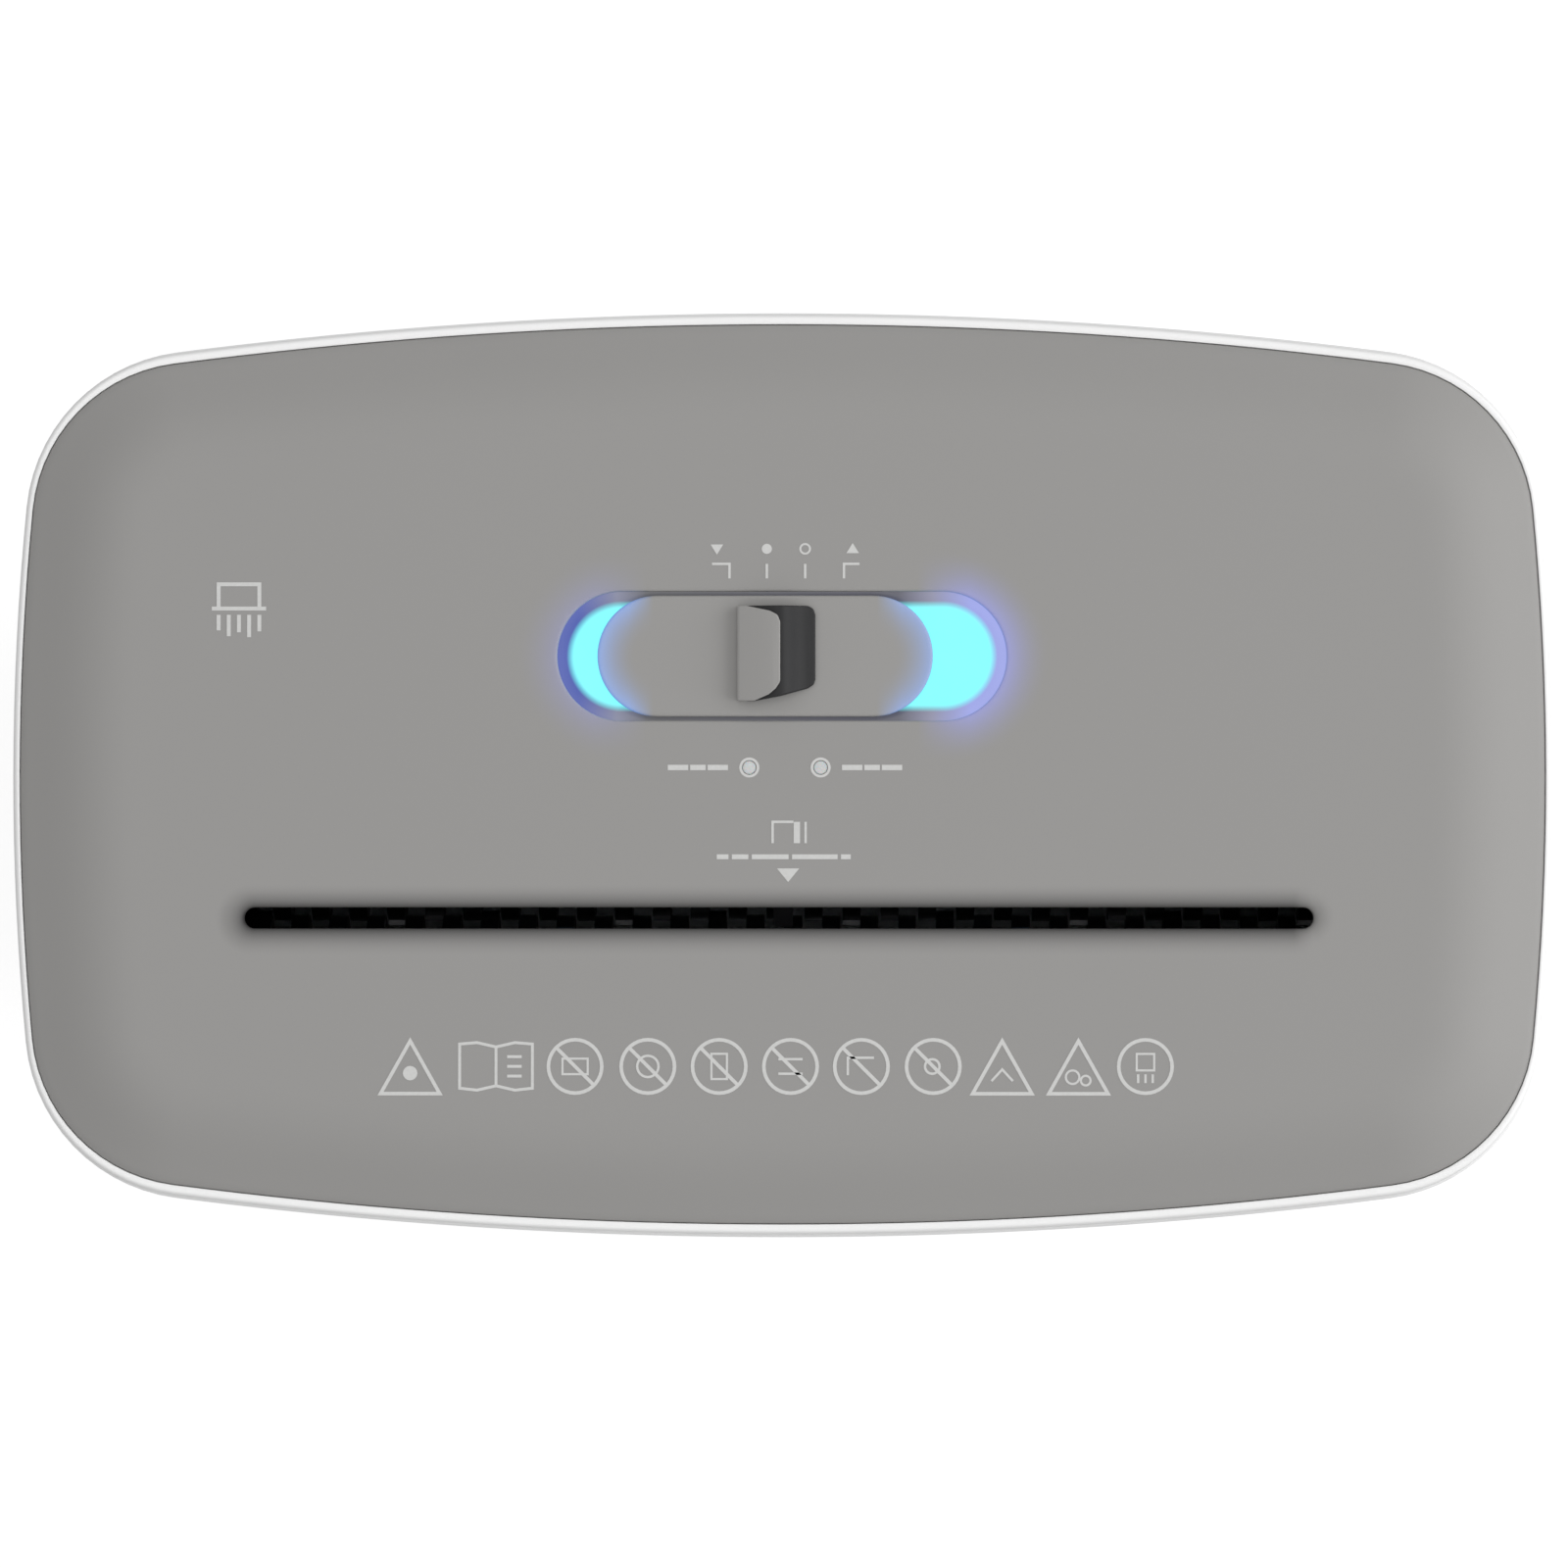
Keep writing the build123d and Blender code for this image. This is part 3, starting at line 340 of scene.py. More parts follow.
class Finish:
    """A material under construction."""

    def __init__(self, name, base, roughness, metallic=0.0):
        self.material = bpy.data.materials.new(name)
        self.material.use_nodes = True
        self.tree = self.material.node_tree
        self.shader = self.tree.nodes["Principled BSDF"]
        self.shader.inputs["Base Color"].default_value = (*base, 1.0)
        self.shader.inputs["Roughness"].default_value = roughness
        self.shader.inputs["Metallic"].default_value = metallic
        self.base = base
        self.coords = self.add("ShaderNodeTexCoord").outputs["Object"]

    def add(self, kind, **settings):
        """A new node with its settings."""
        made = self.tree.nodes.new(kind)
        for key, value in settings.items():
            setattr(made, key, value)
        return made

    def link(self, source, target):
        """Joins an output to an input."""
        self.tree.links.new(source, target)

    def feed(self, socket, value):
        """Gives an input a number or another node's output."""
        if isinstance(value, (int, float)):
            socket.default_value = value
        else:
            self.link(value, socket)

    def math(self, operation, first, second=0.0):
        """The result of an operation on numbers or outputs."""
        made = self.add("ShaderNodeMath", operation=operation)
        self.feed(made.inputs[0], first)
        self.feed(made.inputs[1], second)
        return made.outputs[0]

    def stretched(self, scale):
        """Object coordinates, scaled along each axis."""
        mapping = self.add("ShaderNodeMapping")
        mapping.inputs["Scale"].default_value = scale
        self.link(self.coords, mapping.inputs["Vector"])
        return mapping.outputs["Vector"]

    def noise(self, grain, detail=3.0, vector=None):
        """Noise whose features are about grain metres across."""
        made = self.add("ShaderNodeTexNoise")
        made.inputs["Scale"].default_value = 1.0 / grain
        made.inputs["Detail"].default_value = detail
        self.link(vector or self.coords, made.inputs["Vector"])
        return made.outputs["Fac"]

    def ranged(self, value, low, high, from_low=0.0, from_high=1.0):
        """A value carried from one range to another and held inside it."""
        made = self.add("ShaderNodeMapRange")
        self.feed(made.inputs["Value"], value)
        for end, number in zip(("From Min", "From Max", "To Min", "To Max"), (from_low, from_high, low, high)):
            made.inputs[end].default_value = number
        return made.outputs["Result"]

    def blend(self, factor, first, second):
        """A colour between two, each a colour or a socket."""
        made = self.add("ShaderNodeMix", data_type="RGBA")
        self.link(factor, made.inputs["Factor"])
        for socket, value in ((made.inputs["A"], first), (made.inputs["B"], second)):
            if hasattr(value, "is_output"):
                self.link(value, socket)
            else:
                socket.default_value = (*value, 1.0)
        return made.outputs["Result"]

    def tinted(self, factor, spread):
        """The base colour, a little darker to a little lighter."""
        dark = [c * (1 - spread) for c in self.base]
        light = [min(1.0, c * (1 + spread)) for c in self.base]
        self.link(self.blend(factor, dark, light), self.shader.inputs["Base Color"])

    def rough(self, factor, low, high):
        """Roughness that follows a noise."""
        self.link(self.ranged(factor, low, high, 0.3, 0.7), self.shader.inputs["Roughness"])

    def bump(self, height, strength, depth):
        """Fine relief that follows a height."""
        made = self.add("ShaderNodeBump")
        made.inputs["Strength"].default_value = strength
        made.inputs["Distance"].default_value = depth
        self.link(height, made.inputs["Height"])
        self.link(made.outputs["Normal"], self.shader.inputs["Normal"])

    def axes(self):
        """X, Y and Z of the object coordinates, in metres."""
        split = self.add("ShaderNodeSeparateXYZ")
        self.link(self.coords, split.inputs[0])
        return split.outputs

    def stadium_distance(self, x, y, half_straight):
        """Distance from a centre line of the given half length, seen from above."""
        axes = self.axes()
        beyond = self.math("ABSOLUTE", self.math("SUBTRACT", axes[0], x))
        beyond = self.math("MAXIMUM", self.math("SUBTRACT", beyond, half_straight), 0.0)
        across = self.math("SUBTRACT", axes[1], y)
        squares = self.math("ADD", self.math("POWER", beyond, 2.0), self.math("MULTIPLY", across, across))
        return self.math("SQRT", squares)


def moulded(name, base, roughness, grain=0.45 * MM, strength=0.16, spread=0.02):
    """Moulded plastic: fine spark texture, faint flow marks, uneven gloss."""
    made = Finish(name, base, roughness)
    made.shader.inputs["Specular IOR Level"].default_value = 0.35
    fine = made.noise(grain, 2.0)
    broad = made.noise(38 * MM, 4.0)
    made.tinted(made.math("ADD", made.math("MULTIPLY", broad, 0.7), made.math("MULTIPLY", fine, 0.3)), spread)
    made.rough(broad, roughness - 0.04, roughness + 0.05)
    made.bump(fine, strength, 0.04 * MM)
    return made


def brushed(name, base, roughness, scale, strength=0.12):
    """Metal with fine lines drawn along the axis whose scale is smallest."""
    made = Finish(name, base, roughness, metallic=1.0)
    lines = made.noise(0.5 * MM, 4.0, made.stretched(scale))
    stain = made.noise(24 * MM, 5.0)
    made.tinted(made.math("MULTIPLY", made.math("ADD", lines, stain), 0.5), 0.16)
    made.rough(lines, roughness - 0.07, roughness + 0.1)
    made.bump(lines, strength, 0.03 * MM)
    return made


def paint_end_glow(made, tint, x, y, half_straight, radius, reach, strengths, inward=5 * MM):
    """Painted glow: emission on the plastic round the left and right ends of a stadium, standing in for light from the
    lens.
    """
    distance = made.stadium_distance(x, y, half_straight)
    gap = made.math("ABSOLUTE", made.math("SUBTRACT", distance, radius))
    fade = made.math("POWER", made.ranged(gap, 1.0, 0.0, 0.0, reach), 2.0)
    along, outward = made.axes()[0], 6 * MM
    left = made.ranged(along, strengths[0], 0.0, x - half_straight - outward, x - half_straight + inward)
    right = made.ranged(along, 0.0, strengths[1], x + half_straight - inward, x + half_straight + outward)
    amount = made.math("MULTIPLY", fade, made.math("ADD", left, right))
    made.shader.inputs["Emission Color"].default_value = (*tint, 1.0)
    made.link(amount, made.shader.inputs["Emission Strength"])


def shade_slot(made, sizes):
    """Paints shade on the plastic towards the slot, less at its right end."""
    straight = (sizes.slot_length - sizes.slot_width) / 2
    reach, end, blur = sizes.slot_width / 2 + 4.8 * MM, SLOT_X + straight, 2 * MM
    distance = made.stadium_distance(SLOT_X - 0.8 * MM, SLOT_Y - 0.3 * MM, straight)
    near = made.ranged(distance, 1.0, 0.0, 1.4 * MM, reach)
    fade = made.ranged(made.axes()[0], 1.0, 0.0, end - blur, end + blur)
    amount = made.math("MULTIPLY", made.math("POWER", near, 1.5), fade)
    base = made.shader.inputs["Base Color"]
    tinted = base.links[0].from_socket
    # Painted shade: near-black is blended into the base colour towards the slot.
    made.link(made.blend(made.math("MULTIPLY", amount, 0.82), tinted, (0.01, 0.01, 0.012)), base)


def panel_finish(colours, sizes):
    """Matt grey with painted shade towards the slot and a painted soft blue glow beside the lens."""
    made = moulded("Panel_Grey", colours.grey, 0.62)
    shade_slot(made, sizes)
    # Painted glow: the panel emits blue light round the ends of the switch opening.
    paint_end_glow(made, colours.painted_halo, 0.0, SWITCH_Y, RECESS_STRAIGHT, RECESS_R, 9 * MM, (0.14, 0.36))
    return made.material


def slider_finish(colours):
    """The panel's grey, with a painted blue glow at the plate's ends."""
    made = moulded("Slider_Grey", [c * 1.02 for c in colours.grey], 0.58, 0.6 * MM, 0.08)
    # Painted glow: the plate emits blue light at its ends.
    paint_end_glow(made, colours.painted_spill, PLATE_X, SWITCH_Y, PLATE_STRAIGHT, PLATE_R, 8 * MM, (0.5, 0.42), -1 * MM)
    return made.material


def lens_finish(colours):
    """A lit window inside a border whose glow is painted light and shade: dark blue painted shade at the left, pale
    blue painted light at the right.
    """
    made = Finish("Lit_Lens", (0.02, 0.05, 0.06), 0.25)
    distance = made.stadium_distance(0.0, SWITCH_Y, RECESS_STRAIGHT)
    border = made.ranged(distance, 0.0, 1.0, LENS_R - 0.7 * MM, LENS_R + 0.8 * MM)
    ramp = made.add("ShaderNodeValToRGB")
    half = half_size("light_lens")[0]
    made.link(made.ranged(made.axes()[0], 0.0, 1.0, -half, half), ramp.inputs["Fac"])
    # Painted light and shade on the border's glow: dark blue painted shade at the left, grey in the middle, pale blue
    # painted light at the right.
    bands = ((-42, colours.border_painted_shade), (-34, (0.2, 0.21, 0.3)), (-28, (0.1, 0.1, 0.105)))
    bands += ((24, (0.08, 0.08, 0.1)), (31, (0.24, 0.24, 0.34)), (39, colours.border_painted_light))
    stops = ramp.color_ramp.elements
    for index, (x, tint) in enumerate(bands):
        stop = stops[index] if index < 2 else stops.new(1.0)
        stop.position = (x * MM + half) / (2 * half)
        stop.color = (*tint, 1.0)
    lit = made.blend(border, colours.glow, ramp.outputs["Color"])
    made.link(lit, made.shader.inputs["Emission Color"])
    made.link(made.ranged(made.noise(9 * MM, 2.0), 0.94, 1.06), made.shader.inputs["Emission Strength"])
    base = made.blend(border, (0.02, 0.06, 0.07), (0.03, 0.03, 0.04))
    made.link(base, made.shader.inputs["Base Color"])
    made.bump(made.noise(0.8 * MM), 0.05, 0.03 * MM)
    return made.material


def gloss_white(name, colours, roughness):
    """Satin white with a fine orange-peel surface."""
    made = Finish(name, colours.white, roughness)
    broad = made.noise(60 * MM, 3.0)
    made.tinted(broad, 0.012)
    made.rough(made.noise(14 * MM, 4.0), roughness - 0.05, roughness + 0.06)
    made.bump(made.noise(1.6 * MM, 2.0), 0.05, 0.05 * MM)
    made.shader.inputs["Coat Weight"].default_value = 0.15
    made.shader.inputs["Coat Roughness"].default_value = 0.2
    return made.material


def smoked(colours):
    """See-through smoked plastic with faint swirls."""
    made = Finish("Smoked_Window", colours.smoke, 0.08)
    made.tinted(made.noise(45 * MM, 2.0), 0.06)
    made.rough(made.noise(6 * MM, 4.0), 0.05, 0.14)
    made.shader.inputs["Transmission Weight"].default_value = 0.85
    made.shader.inputs["IOR"].default_value = 1.49
    made.bump(made.noise(20 * MM, 2.0), 0.08, 0.08 * MM)
    return made.material


def printed(colours):
    """Pad-printed ink, slightly broken at its edges."""
    made = Finish("Printed_Ink", colours.mark, 0.55)
    made.tinted(made.noise(0.7 * MM, 3.0), 0.08)
    made.rough(made.noise(2 * MM), 0.48, 0.62)
    made.bump(made.noise(0.4 * MM, 2.0), 0.1, 0.02 * MM)
    return made.material


def circuit_board():
    """Solder mask over faint tracks."""
    made = Finish("Circuit_Board", (0.02, 0.14, 0.06), 0.35)
    tracks = made.add("ShaderNodeTexBrick")
    tracks.inputs["Scale"].default_value = 130.0
    tracks.inputs["Mortar Size"].default_value = 0.035
    tracks.inputs["Color1"].default_value = (0.015, 0.12, 0.05, 1)
    tracks.inputs["Color2"].default_value = (0.02, 0.15, 0.065, 1)
    tracks.inputs["Mortar"].default_value = (0.05, 0.25, 0.11, 1)
    made.link(made.coords, tracks.inputs["Vector"])
    made.link(tracks.outputs["Color"], made.shader.inputs["Base Color"])
    made.rough(made.noise(5 * MM), 0.3, 0.42)
    made.bump(tracks.outputs["Fac"], 0.3, 0.05 * MM)
    return made.material


def wound_core():
    """Copper turns between steel teeth."""
    made = Finish("Wound_Core", (0.45, 0.16, 0.06), 0.35, metallic=1.0)
    turns = made.add("ShaderNodeTexWave", wave_type="BANDS", bands_direction="X")
    turns.inputs["Scale"].default_value = 260.0
    turns.inputs["Distortion"].default_value = 2.0
    made.link(made.coords, turns.inputs["Vector"])
    made.tinted(turns.outputs["Fac"], 0.3)
    made.rough(made.noise(3 * MM), 0.28, 0.45)
    made.bump(turns.outputs["Fac"], 0.4, 0.1 * MM)
    return made.material


def rubber(name):
    """Matt rubber with a dusty bloom."""
    made = Finish(name, (0.028, 0.028, 0.03), 0.75)
    made.tinted(made.noise(5 * MM, 5.0), 0.25)
    made.rough(made.noise(3 * MM, 4.0), 0.66, 0.86)
    made.bump(made.noise(0.5 * MM, 2.0), 0.3, 0.06 * MM)
    return made.material


# ------------------------------------------------------------------ places taken from the frame

PANEL_TOP = node_span("front_feed_guide", 2)[1] + 2.6 * MM
PANEL_LOW = node_span("top_panel", 2)[0]
SHELL_LOW, SHELL_TOP = node_span("head_shell", 2)
RING_TOP = node_span("trim_ring", 2)[1]
LENS_LOW, LENS_TOP = node_span("light_lens", 2)
SWITCH_Y = node_middle("light_lens", 1)
SLOT_Y = (node_span("front_feed_guide", 1)[1] + node_span("rear_feed_guide", 1)[0]) / 2 - 0.3 * MM
SLOT_X = -0.7 * MM
RECESS_R = 13.35 * MM
RECESS_STRAIGHT = 33.0 * MM
LENS_R = 10.65 * MM
PLATE_X = node_middle("slider_plate", 0)
PLATE_R = half_size("slider_plate")[1]
PLATE_STRAIGHT = half_size("slider_plate")[0] - PLATE_R
PLATE_LOW = LENS_TOP + 0.2 * MM
PLATE_TOP = PLATE_LOW + 2.2 * MM
GRIP_TOP = node_span("slider_plate", 2)[1]
LAMP_Y = node_middle("indicator_lenses", 1)
LAMP_R = half_size("indicator_lenses")[1]
LAMP_XS = (node_span("indicator_lenses", 0)[0] + LAMP_R, node_span("indicator_lenses", 0)[1] - LAMP_R)
BIN_LOW = node_span("bin_feet", 2)[1]
BIN_RIM = node_span("base_cover", 2)[0] + 5.9 * MM
GLAND_X = node_middle("cord_gland", 0)
GLAND_Z = node_middle("cord_gland", 2)
GLAND_FRONT, GLAND_BACK = node_span("cord_gland", 1)


# ------------------------------------------------------------------ operators


class Builder(bpy.types.Operator):
    """Shared by the operators that build pieces"""

    bl_options = {"REGISTER", "UNDO"}

    def execute(self, context):
        """Reads the settings and builds."""
        self.sizes = context.scene.shredder_sizes
        self.colours = context.scene.shredder_colours
        self.build()
        return {"FINISHED"}

    def panel_rays(self):
        """Rays of the grey panel's outline, which lies inside the white shell's."""
        return self.outline("top_panel", 2.5 * MM)

    def shell_rays(self, stops=()):
        """Rays of the white shell's outline."""
        return self.outline("head_shell", 0.0, stops)

    def outline(self, node, margin, stops=()):
        """Rays of a node's outline, whose radii are smaller than the shell's by a margin."""
        s = self.sizes
        radii = (s.long_radius - margin, s.side_radius - margin, s.corner_radius - margin)
        return barrel_rays(*half_size(node), *radii, stops)


class SHREDDER_OT_top_panel(Builder):
    """Grey panel with a rolled edge, the feed slot, the switch opening and two lamp holes"""

    bl_idname = "shredder.top_panel"
    bl_label = "Top Panel"

    def drop_at(self, inset):
        """How far the panel lies below its middle, at a distance from its edge."""
        s = self.sizes
        slope = s.roll_drop / (s.roll_flat + s.roll_blend / 2)
        share = min(1.0, max(0.0, (inset - s.roll_flat) / s.roll_blend))
        blended = s.roll_blend * (0.5 - share + share**3 - share**4 / 2)
        return slope * (blended + max(0.0, s.roll_flat - inset))

    def build(self):
        s = self.sizes
        rays = self.panel_rays()
        skin = Skin()
        edge = 0.4 * MM
        low_edge = PANEL_TOP - self.drop_at(0.0)
        profile = [(0.0, PANEL_LOW), (0.0, low_edge - edge)]
        profile += upper_round(0.0, low_edge, edge, edge, (0.4, 0.8, 1.15))
        flat, steps = s.roll_flat + s.roll_blend, 22
        insets = [edge * 1.3 + flat * i / steps for i in range(steps)]
        profile += [(d, PANEL_TOP - self.drop_at(d)) for d in insets]
        profile += [(flat, PANEL_TOP), (flat + 1 * MM, PANEL_TOP)]
        thick = PANEL_TOP - LENS_TOP
        lip_low = LENS_TOP - 3.5 * MM
        under = [(thick, PANEL_LOW), (thick, low_edge - thick), (flat * 0.5, LENS_TOP - 1.6 * MM), (flat, LENS_TOP)]
        outside = skin.tower([loop_at(rays, d, z) for d, z in profile])
        inside = skin.tower([loop_at(rays, d, z) for d, z in under])
        skin.bridge(outside[0], inside[0])
        tops, bottoms = [outside[-1]], [inside[-1]]
        slot_r = s.slot_width / 2 - 0.3 * MM
        straight = (s.slot_length - s.slot_width) / 2
        turns = [pi / 2 * i / 9 for i in range(9, -1, -1)]
        lips = [(0.0, s.slot_lip + 0.6 * MM)]
        lips += [(s.slot_roll * (1 - sin(t)), s.slot_lip * (1 - cos(t))) for t in turns]
        rounds = [(SLOT_X, SLOT_Y, straight, slot_r + o, PANEL_TOP - d) for d, o in lips]
        rounds += [(SLOT_X, SLOT_Y, straight, slot_r + o, z) for o, z in ((0.0, lip_low), (0.2 * MM, lip_low))]
        below = stadium_loop(SLOT_X, SLOT_Y, straight, slot_r + 0.2 * MM, LENS_TOP)
        holes = [([stadium_loop(*r) for r in rounds], below)]
        lip = s.recess_lip
        lips = [(0.0, lip + 0.4 * MM)] + [(lip * (1 - sin(t)), lip * (1 - cos(t))) for t in (pi / 2, 1.0, 0.5, 0.0)]
        rounds = [(0.0, SWITCH_Y, RECESS_STRAIGHT, RECESS_R + o, PANEL_TOP - d, 32) for d, o in lips]
        below = stadium_loop(0.0, SWITCH_Y, RECESS_STRAIGHT, RECESS_R, LENS_TOP, 32)
        holes.append(([stadium_loop(*r) for r in rounds], below))
        for x in LAMP_XS:
            steps = ((0.5 * MM, 0.0), (0.12 * MM, 0.0), (0.0, 0.12 * MM))
            rounds = [circle_loop(x, LAMP_Y, LAMP_R + o, PANEL_TOP - d) for o, d in steps]
            holes.append((rounds, circle_loop(x, LAMP_Y, LAMP_R, LENS_TOP)))
        for rounds, under_loop in holes:
            rings = skin.tower([*rounds, under_loop])
            tops.append(rings[0])
            bottoms.append(rings[-1])
        skin.fill(*tops)
        skin.fill(*bottoms)
        made = skin.piece("top_panel_skin", panel_finish(self.colours, s))
        place(made, "head", "grey_plastic", "top_panel")


class SHREDDER_OT_rim(Builder):
    """White ring round the panel"""

    bl_idname = "shredder.rim"
    bl_label = "White Rim"

    def build(self):
        outer, inner = self.shell_rays(), self.panel_rays()
        step, width, height, gap = 0.75 * MM, self.sizes.rim_round, 2.2 * MM, -0.12 * MM
        foot = SHELL_TOP + 0.1 * MM
        outside = [(2 * MM, foot), (step + 0.1 * MM, foot), (step, SHELL_TOP + 0.3 * MM)]
        outside += upper_round(step, RING_TOP, width, height, (0.0, 0.35, 0.7, 1.0, 1.3, pi / 2))
        inside = [(gap - 0.3 * MM, RING_TOP), (gap - 0.08 * MM, RING_TOP - 0.1 * MM)]
        inside += [(gap, RING_TOP - 0.4 * MM), (gap, SHELL_TOP + 0.5 * MM)]
        skin = Skin()
        rings = skin.tower([loop_at(rays, d, z) for rays, side in ((outer, outside), (inner, inside)) for d, z in side])
        skin.bridge(rings[-1], rings[0])
        made = skin.piece("trim_ring_skin", gloss_white("Rim_White", self.colours, 0.36))
        place(made, "head", "white_plastic", "trim_ring")


class SHREDDER_OT_shell(Builder):
    """White walls of the head, with cooling slots and the cord's hole at the back"""

    bl_idname = "shredder.shell"
    bl_label = "Head Shell"

    slot_pitch = 8 * MM
    slot_half = 1.5 * MM
    slot_first = 20 * MM
    slot_count = 13
    slot_z = (285 * MM, 313 * MM)
    gland_half = 5.5 * MM

    def stops(self):
        """Where the back arc needs rays for the slots and the cord's hole."""
        middles = [self.slot_first + self.slot_pitch * i for i in range(self.slot_count)]
        found = [m + side * self.slot_half for m in middles for side in (-1, 1)]
        return found + [-GLAND_X + side * self.gland_half for side in (-1, 1)]

    def build(self):
        rays = self.shell_rays(self.stops())
        gland_z = (GLAND_Z - self.gland_half, GLAND_Z + self.gland_half)
        heights = sorted([SHELL_LOW + 2.2 * MM, 258 * MM, *gland_z, *self.slot_z, 326 * MM, SHELL_TOP - 1 * MM])
        middle, span, wall = 300 * MM, 54 * MM, 2.8 * MM

        def swell(z):
            """How far the wall draws in at a height."""
            return 0.9 * MM * max(0.0, (middle - z) / span) ** 2

        lower_round = [(1.6 * MM, SHELL_LOW), (0.7 * MM, SHELL_LOW + 0.3 * MM), (0.2 * MM, SHELL_LOW + 1.0 * MM)]
        outer = [loop_at(rays, swell(z) + d, z) for d, z in lower_round]
        outer += [loop_at(rays, swell(z), z) for z in heights]
        top_round = [(0.08 * MM, SHELL_TOP - 0.4 * MM), (0.45 * MM, SHELL_TOP)]
        outer += [loop_at(rays, d, z) for d, z in top_round]
        levels = [z for _, z in lower_round] + heights + [z for _, z in top_round]
        inner = [loop_at(rays, swell(z) + wall, max(z, SHELL_LOW + 0.2 * MM)) for z in levels]
        skin = Skin()
        outside = [skin.ring(points) for points in outer]
        inside = [skin.ring(points) for points in inner]
        middle_loop = outer[5]
        centres = [(point + middle_loop[(i + 1) % len(rays)]) / 2 for i, point in enumerate(middle_loop)]

        def is_open(row, col):
            """Whether a cell of the wall belongs to a slot or to the cord's hole."""
            z = (levels[row] + levels[row + 1]) / 2
            x, y = centres[col][0], centres[col][1]
            if y < 0:
                return False
            if self.slot_z[0] < z < self.slot_z[1] and x > 0:
                step = (x - self.slot_first) / self.slot_pitch
                near = round(step)
                return 0 <= near < self.slot_count and abs(step - near) * self.slot_pitch < self.slot_half
            return gland_z[0] < z < gland_z[1] and abs(x - GLAND_X) < self.gland_half

        skin.wall(outside, inside, is_open)
        skin.bridge(outside[0], inside[0])
        skin.bridge(outside[-1], inside[-1])
        made = skin.piece("head_walls_skin", gloss_white("Head_White", self.colours, 0.38))
        place(made, "head", "white_plastic", "head_shell")


class SHREDDER_OT_slider(Builder):
    """Sliding plate with its thumb ridge and dark insert"""

    bl_idname = "shredder.slider"
    bl_label = "Slider Switch"

    ridge_plan = (
        (-9.2, 14.9), (-5.6, 14.9), (-2.6, 16.2), (-1.2, 17.4), (-0.3, 18.8),
        (-0.3, 31.2), (-0.9, 32.6), (-2.4, 33.4), (-7.4, 34.5), (-9.2, 34.5),
    )
    insert_plan = (
        (-7.4, 14.9), (-5.6, 14.9), (-0.3, 15.9), (5.4, 17.5), (6.6, 18.3), (6.9, 19.3),
        (6.9, 32.7), (6.5, 33.9), (5.4, 34.5), (-7.4, 34.5),
    )

    def plate(self, finish):
        """The long plate with a rounded edge."""
        round_over = 0.5 * MM
        steps = [(0.25 * MM, PLATE_LOW), (0.0, PLATE_LOW + 0.25 * MM), (0.0, PLATE_TOP - round_over)]
        steps += upper_round(0.0, PLATE_TOP, round_over, round_over, (0.5, 1.0, pi / 2))
        steps.append((round_over + 0.4 * MM, PLATE_TOP))
        skin = Skin()
        rings = skin.tower([stadium_loop(PLATE_X, SWITCH_Y, PLATE_STRAIGHT, PLATE_R - d, z, 32) for d, z in steps])
        skin.fill(rings[0])
        skin.fill(rings[-1])
        made = skin.piece("slider_plate_skin", finish)
        place(made, "switch_slider", "grey_plastic", "slider_plate")

    def stem(self, finish):
        """The post that joins the plate to its carrier."""
        half = 4 * MM
        low = node_span("slider_plate", 2)[0]
        skin = Skin()
        bounds = (PLATE_X - half, PLATE_X + half, SWITCH_Y - half, SWITCH_Y + half)
        skin.block([rect_loop(*bounds, z) for z in (low, PLATE_LOW + 0.1 * MM)])
        place(skin.piece("slider_stem", finish), "switch_slider", "grey_plastic")

    def cut_prism(self, section, plan):
        """A section in millimetres above the plate, drawn along Y and cut to a convex plan."""
        ys = [y for _, y in plan]
        points = [(x * MM, PLATE_TOP + z * MM) for x, z in section]
        skin = prism(points, min(ys) * MM, max(ys) * MM)
        for (x0, y0), (x1, y1) in zip(plan, plan[1:] + plan[:1]):
            if x0 != x1 and y0 != y1:
                skin.trim((x0 * MM, y0 * MM, 0.0), (y1 - y0, x0 - x1, 0.0))
        return skin

    def ridge(self, finish):
        """Pad of the thumb ridge, which rises from its left to the crest."""
        high = (GRIP_TOP - PLATE_TOP) / MM
        section = [(-9.2, -0.2), (-9.2, high * 0.36), (-8.9, high * 0.44), (-7.6, high * 0.53), (-4.6, high * 0.72)]
        section += [(-1.9, high * 0.87), (-0.3, high * 0.92), (-0.3, -0.2)]
        made = self.cut_prism(section, self.ridge_plan).piece("slider_ridge", finish)
        soften(made, 0.3 * MM)
        place(made, "switch_slider", "grey_plastic")

    def insert(self, finish):
        """Dark flank on the ridge's right, hollowed for the thumb."""
        section = [(-7.4, -0.2), (-7.4, 2.2), (-4.6, 3.6), (-1.9, 4.5), (-0.3, 4.9), (0.6, 4.7), (1.6, 3.95)]
        section += [(2.4, 3.15), (3.2, 2.4), (4.0, 1.85), (5.0, 1.4), (6.9, 1.0), (6.9, -0.2)]
        made = self.cut_prism(section, self.insert_plan).piece("slider_insert", finish)
        soften(made, 0.3 * MM)
        place(made, "switch_slider", "charcoal_plastic", "slider_grip")

    def build(self):
        grey = slider_finish(self.colours)
        self.plate(grey)
        self.stem(grey)
        # Painted light: the ridge's grey is made lighter to make up for the shade on its top, which leans away from the
        # key light.
        paler = [c * 1.09 for c in self.colours.grey]
        self.ridge(moulded("Ridge_Grey_Painted_Light", paler, 0.55, 0.6 * MM, 0.08).material)
        self.insert(moulded("Grip_Charcoal", self.colours.charcoal, 0.55, 0.7 * MM, 0.3, 0.1).material)


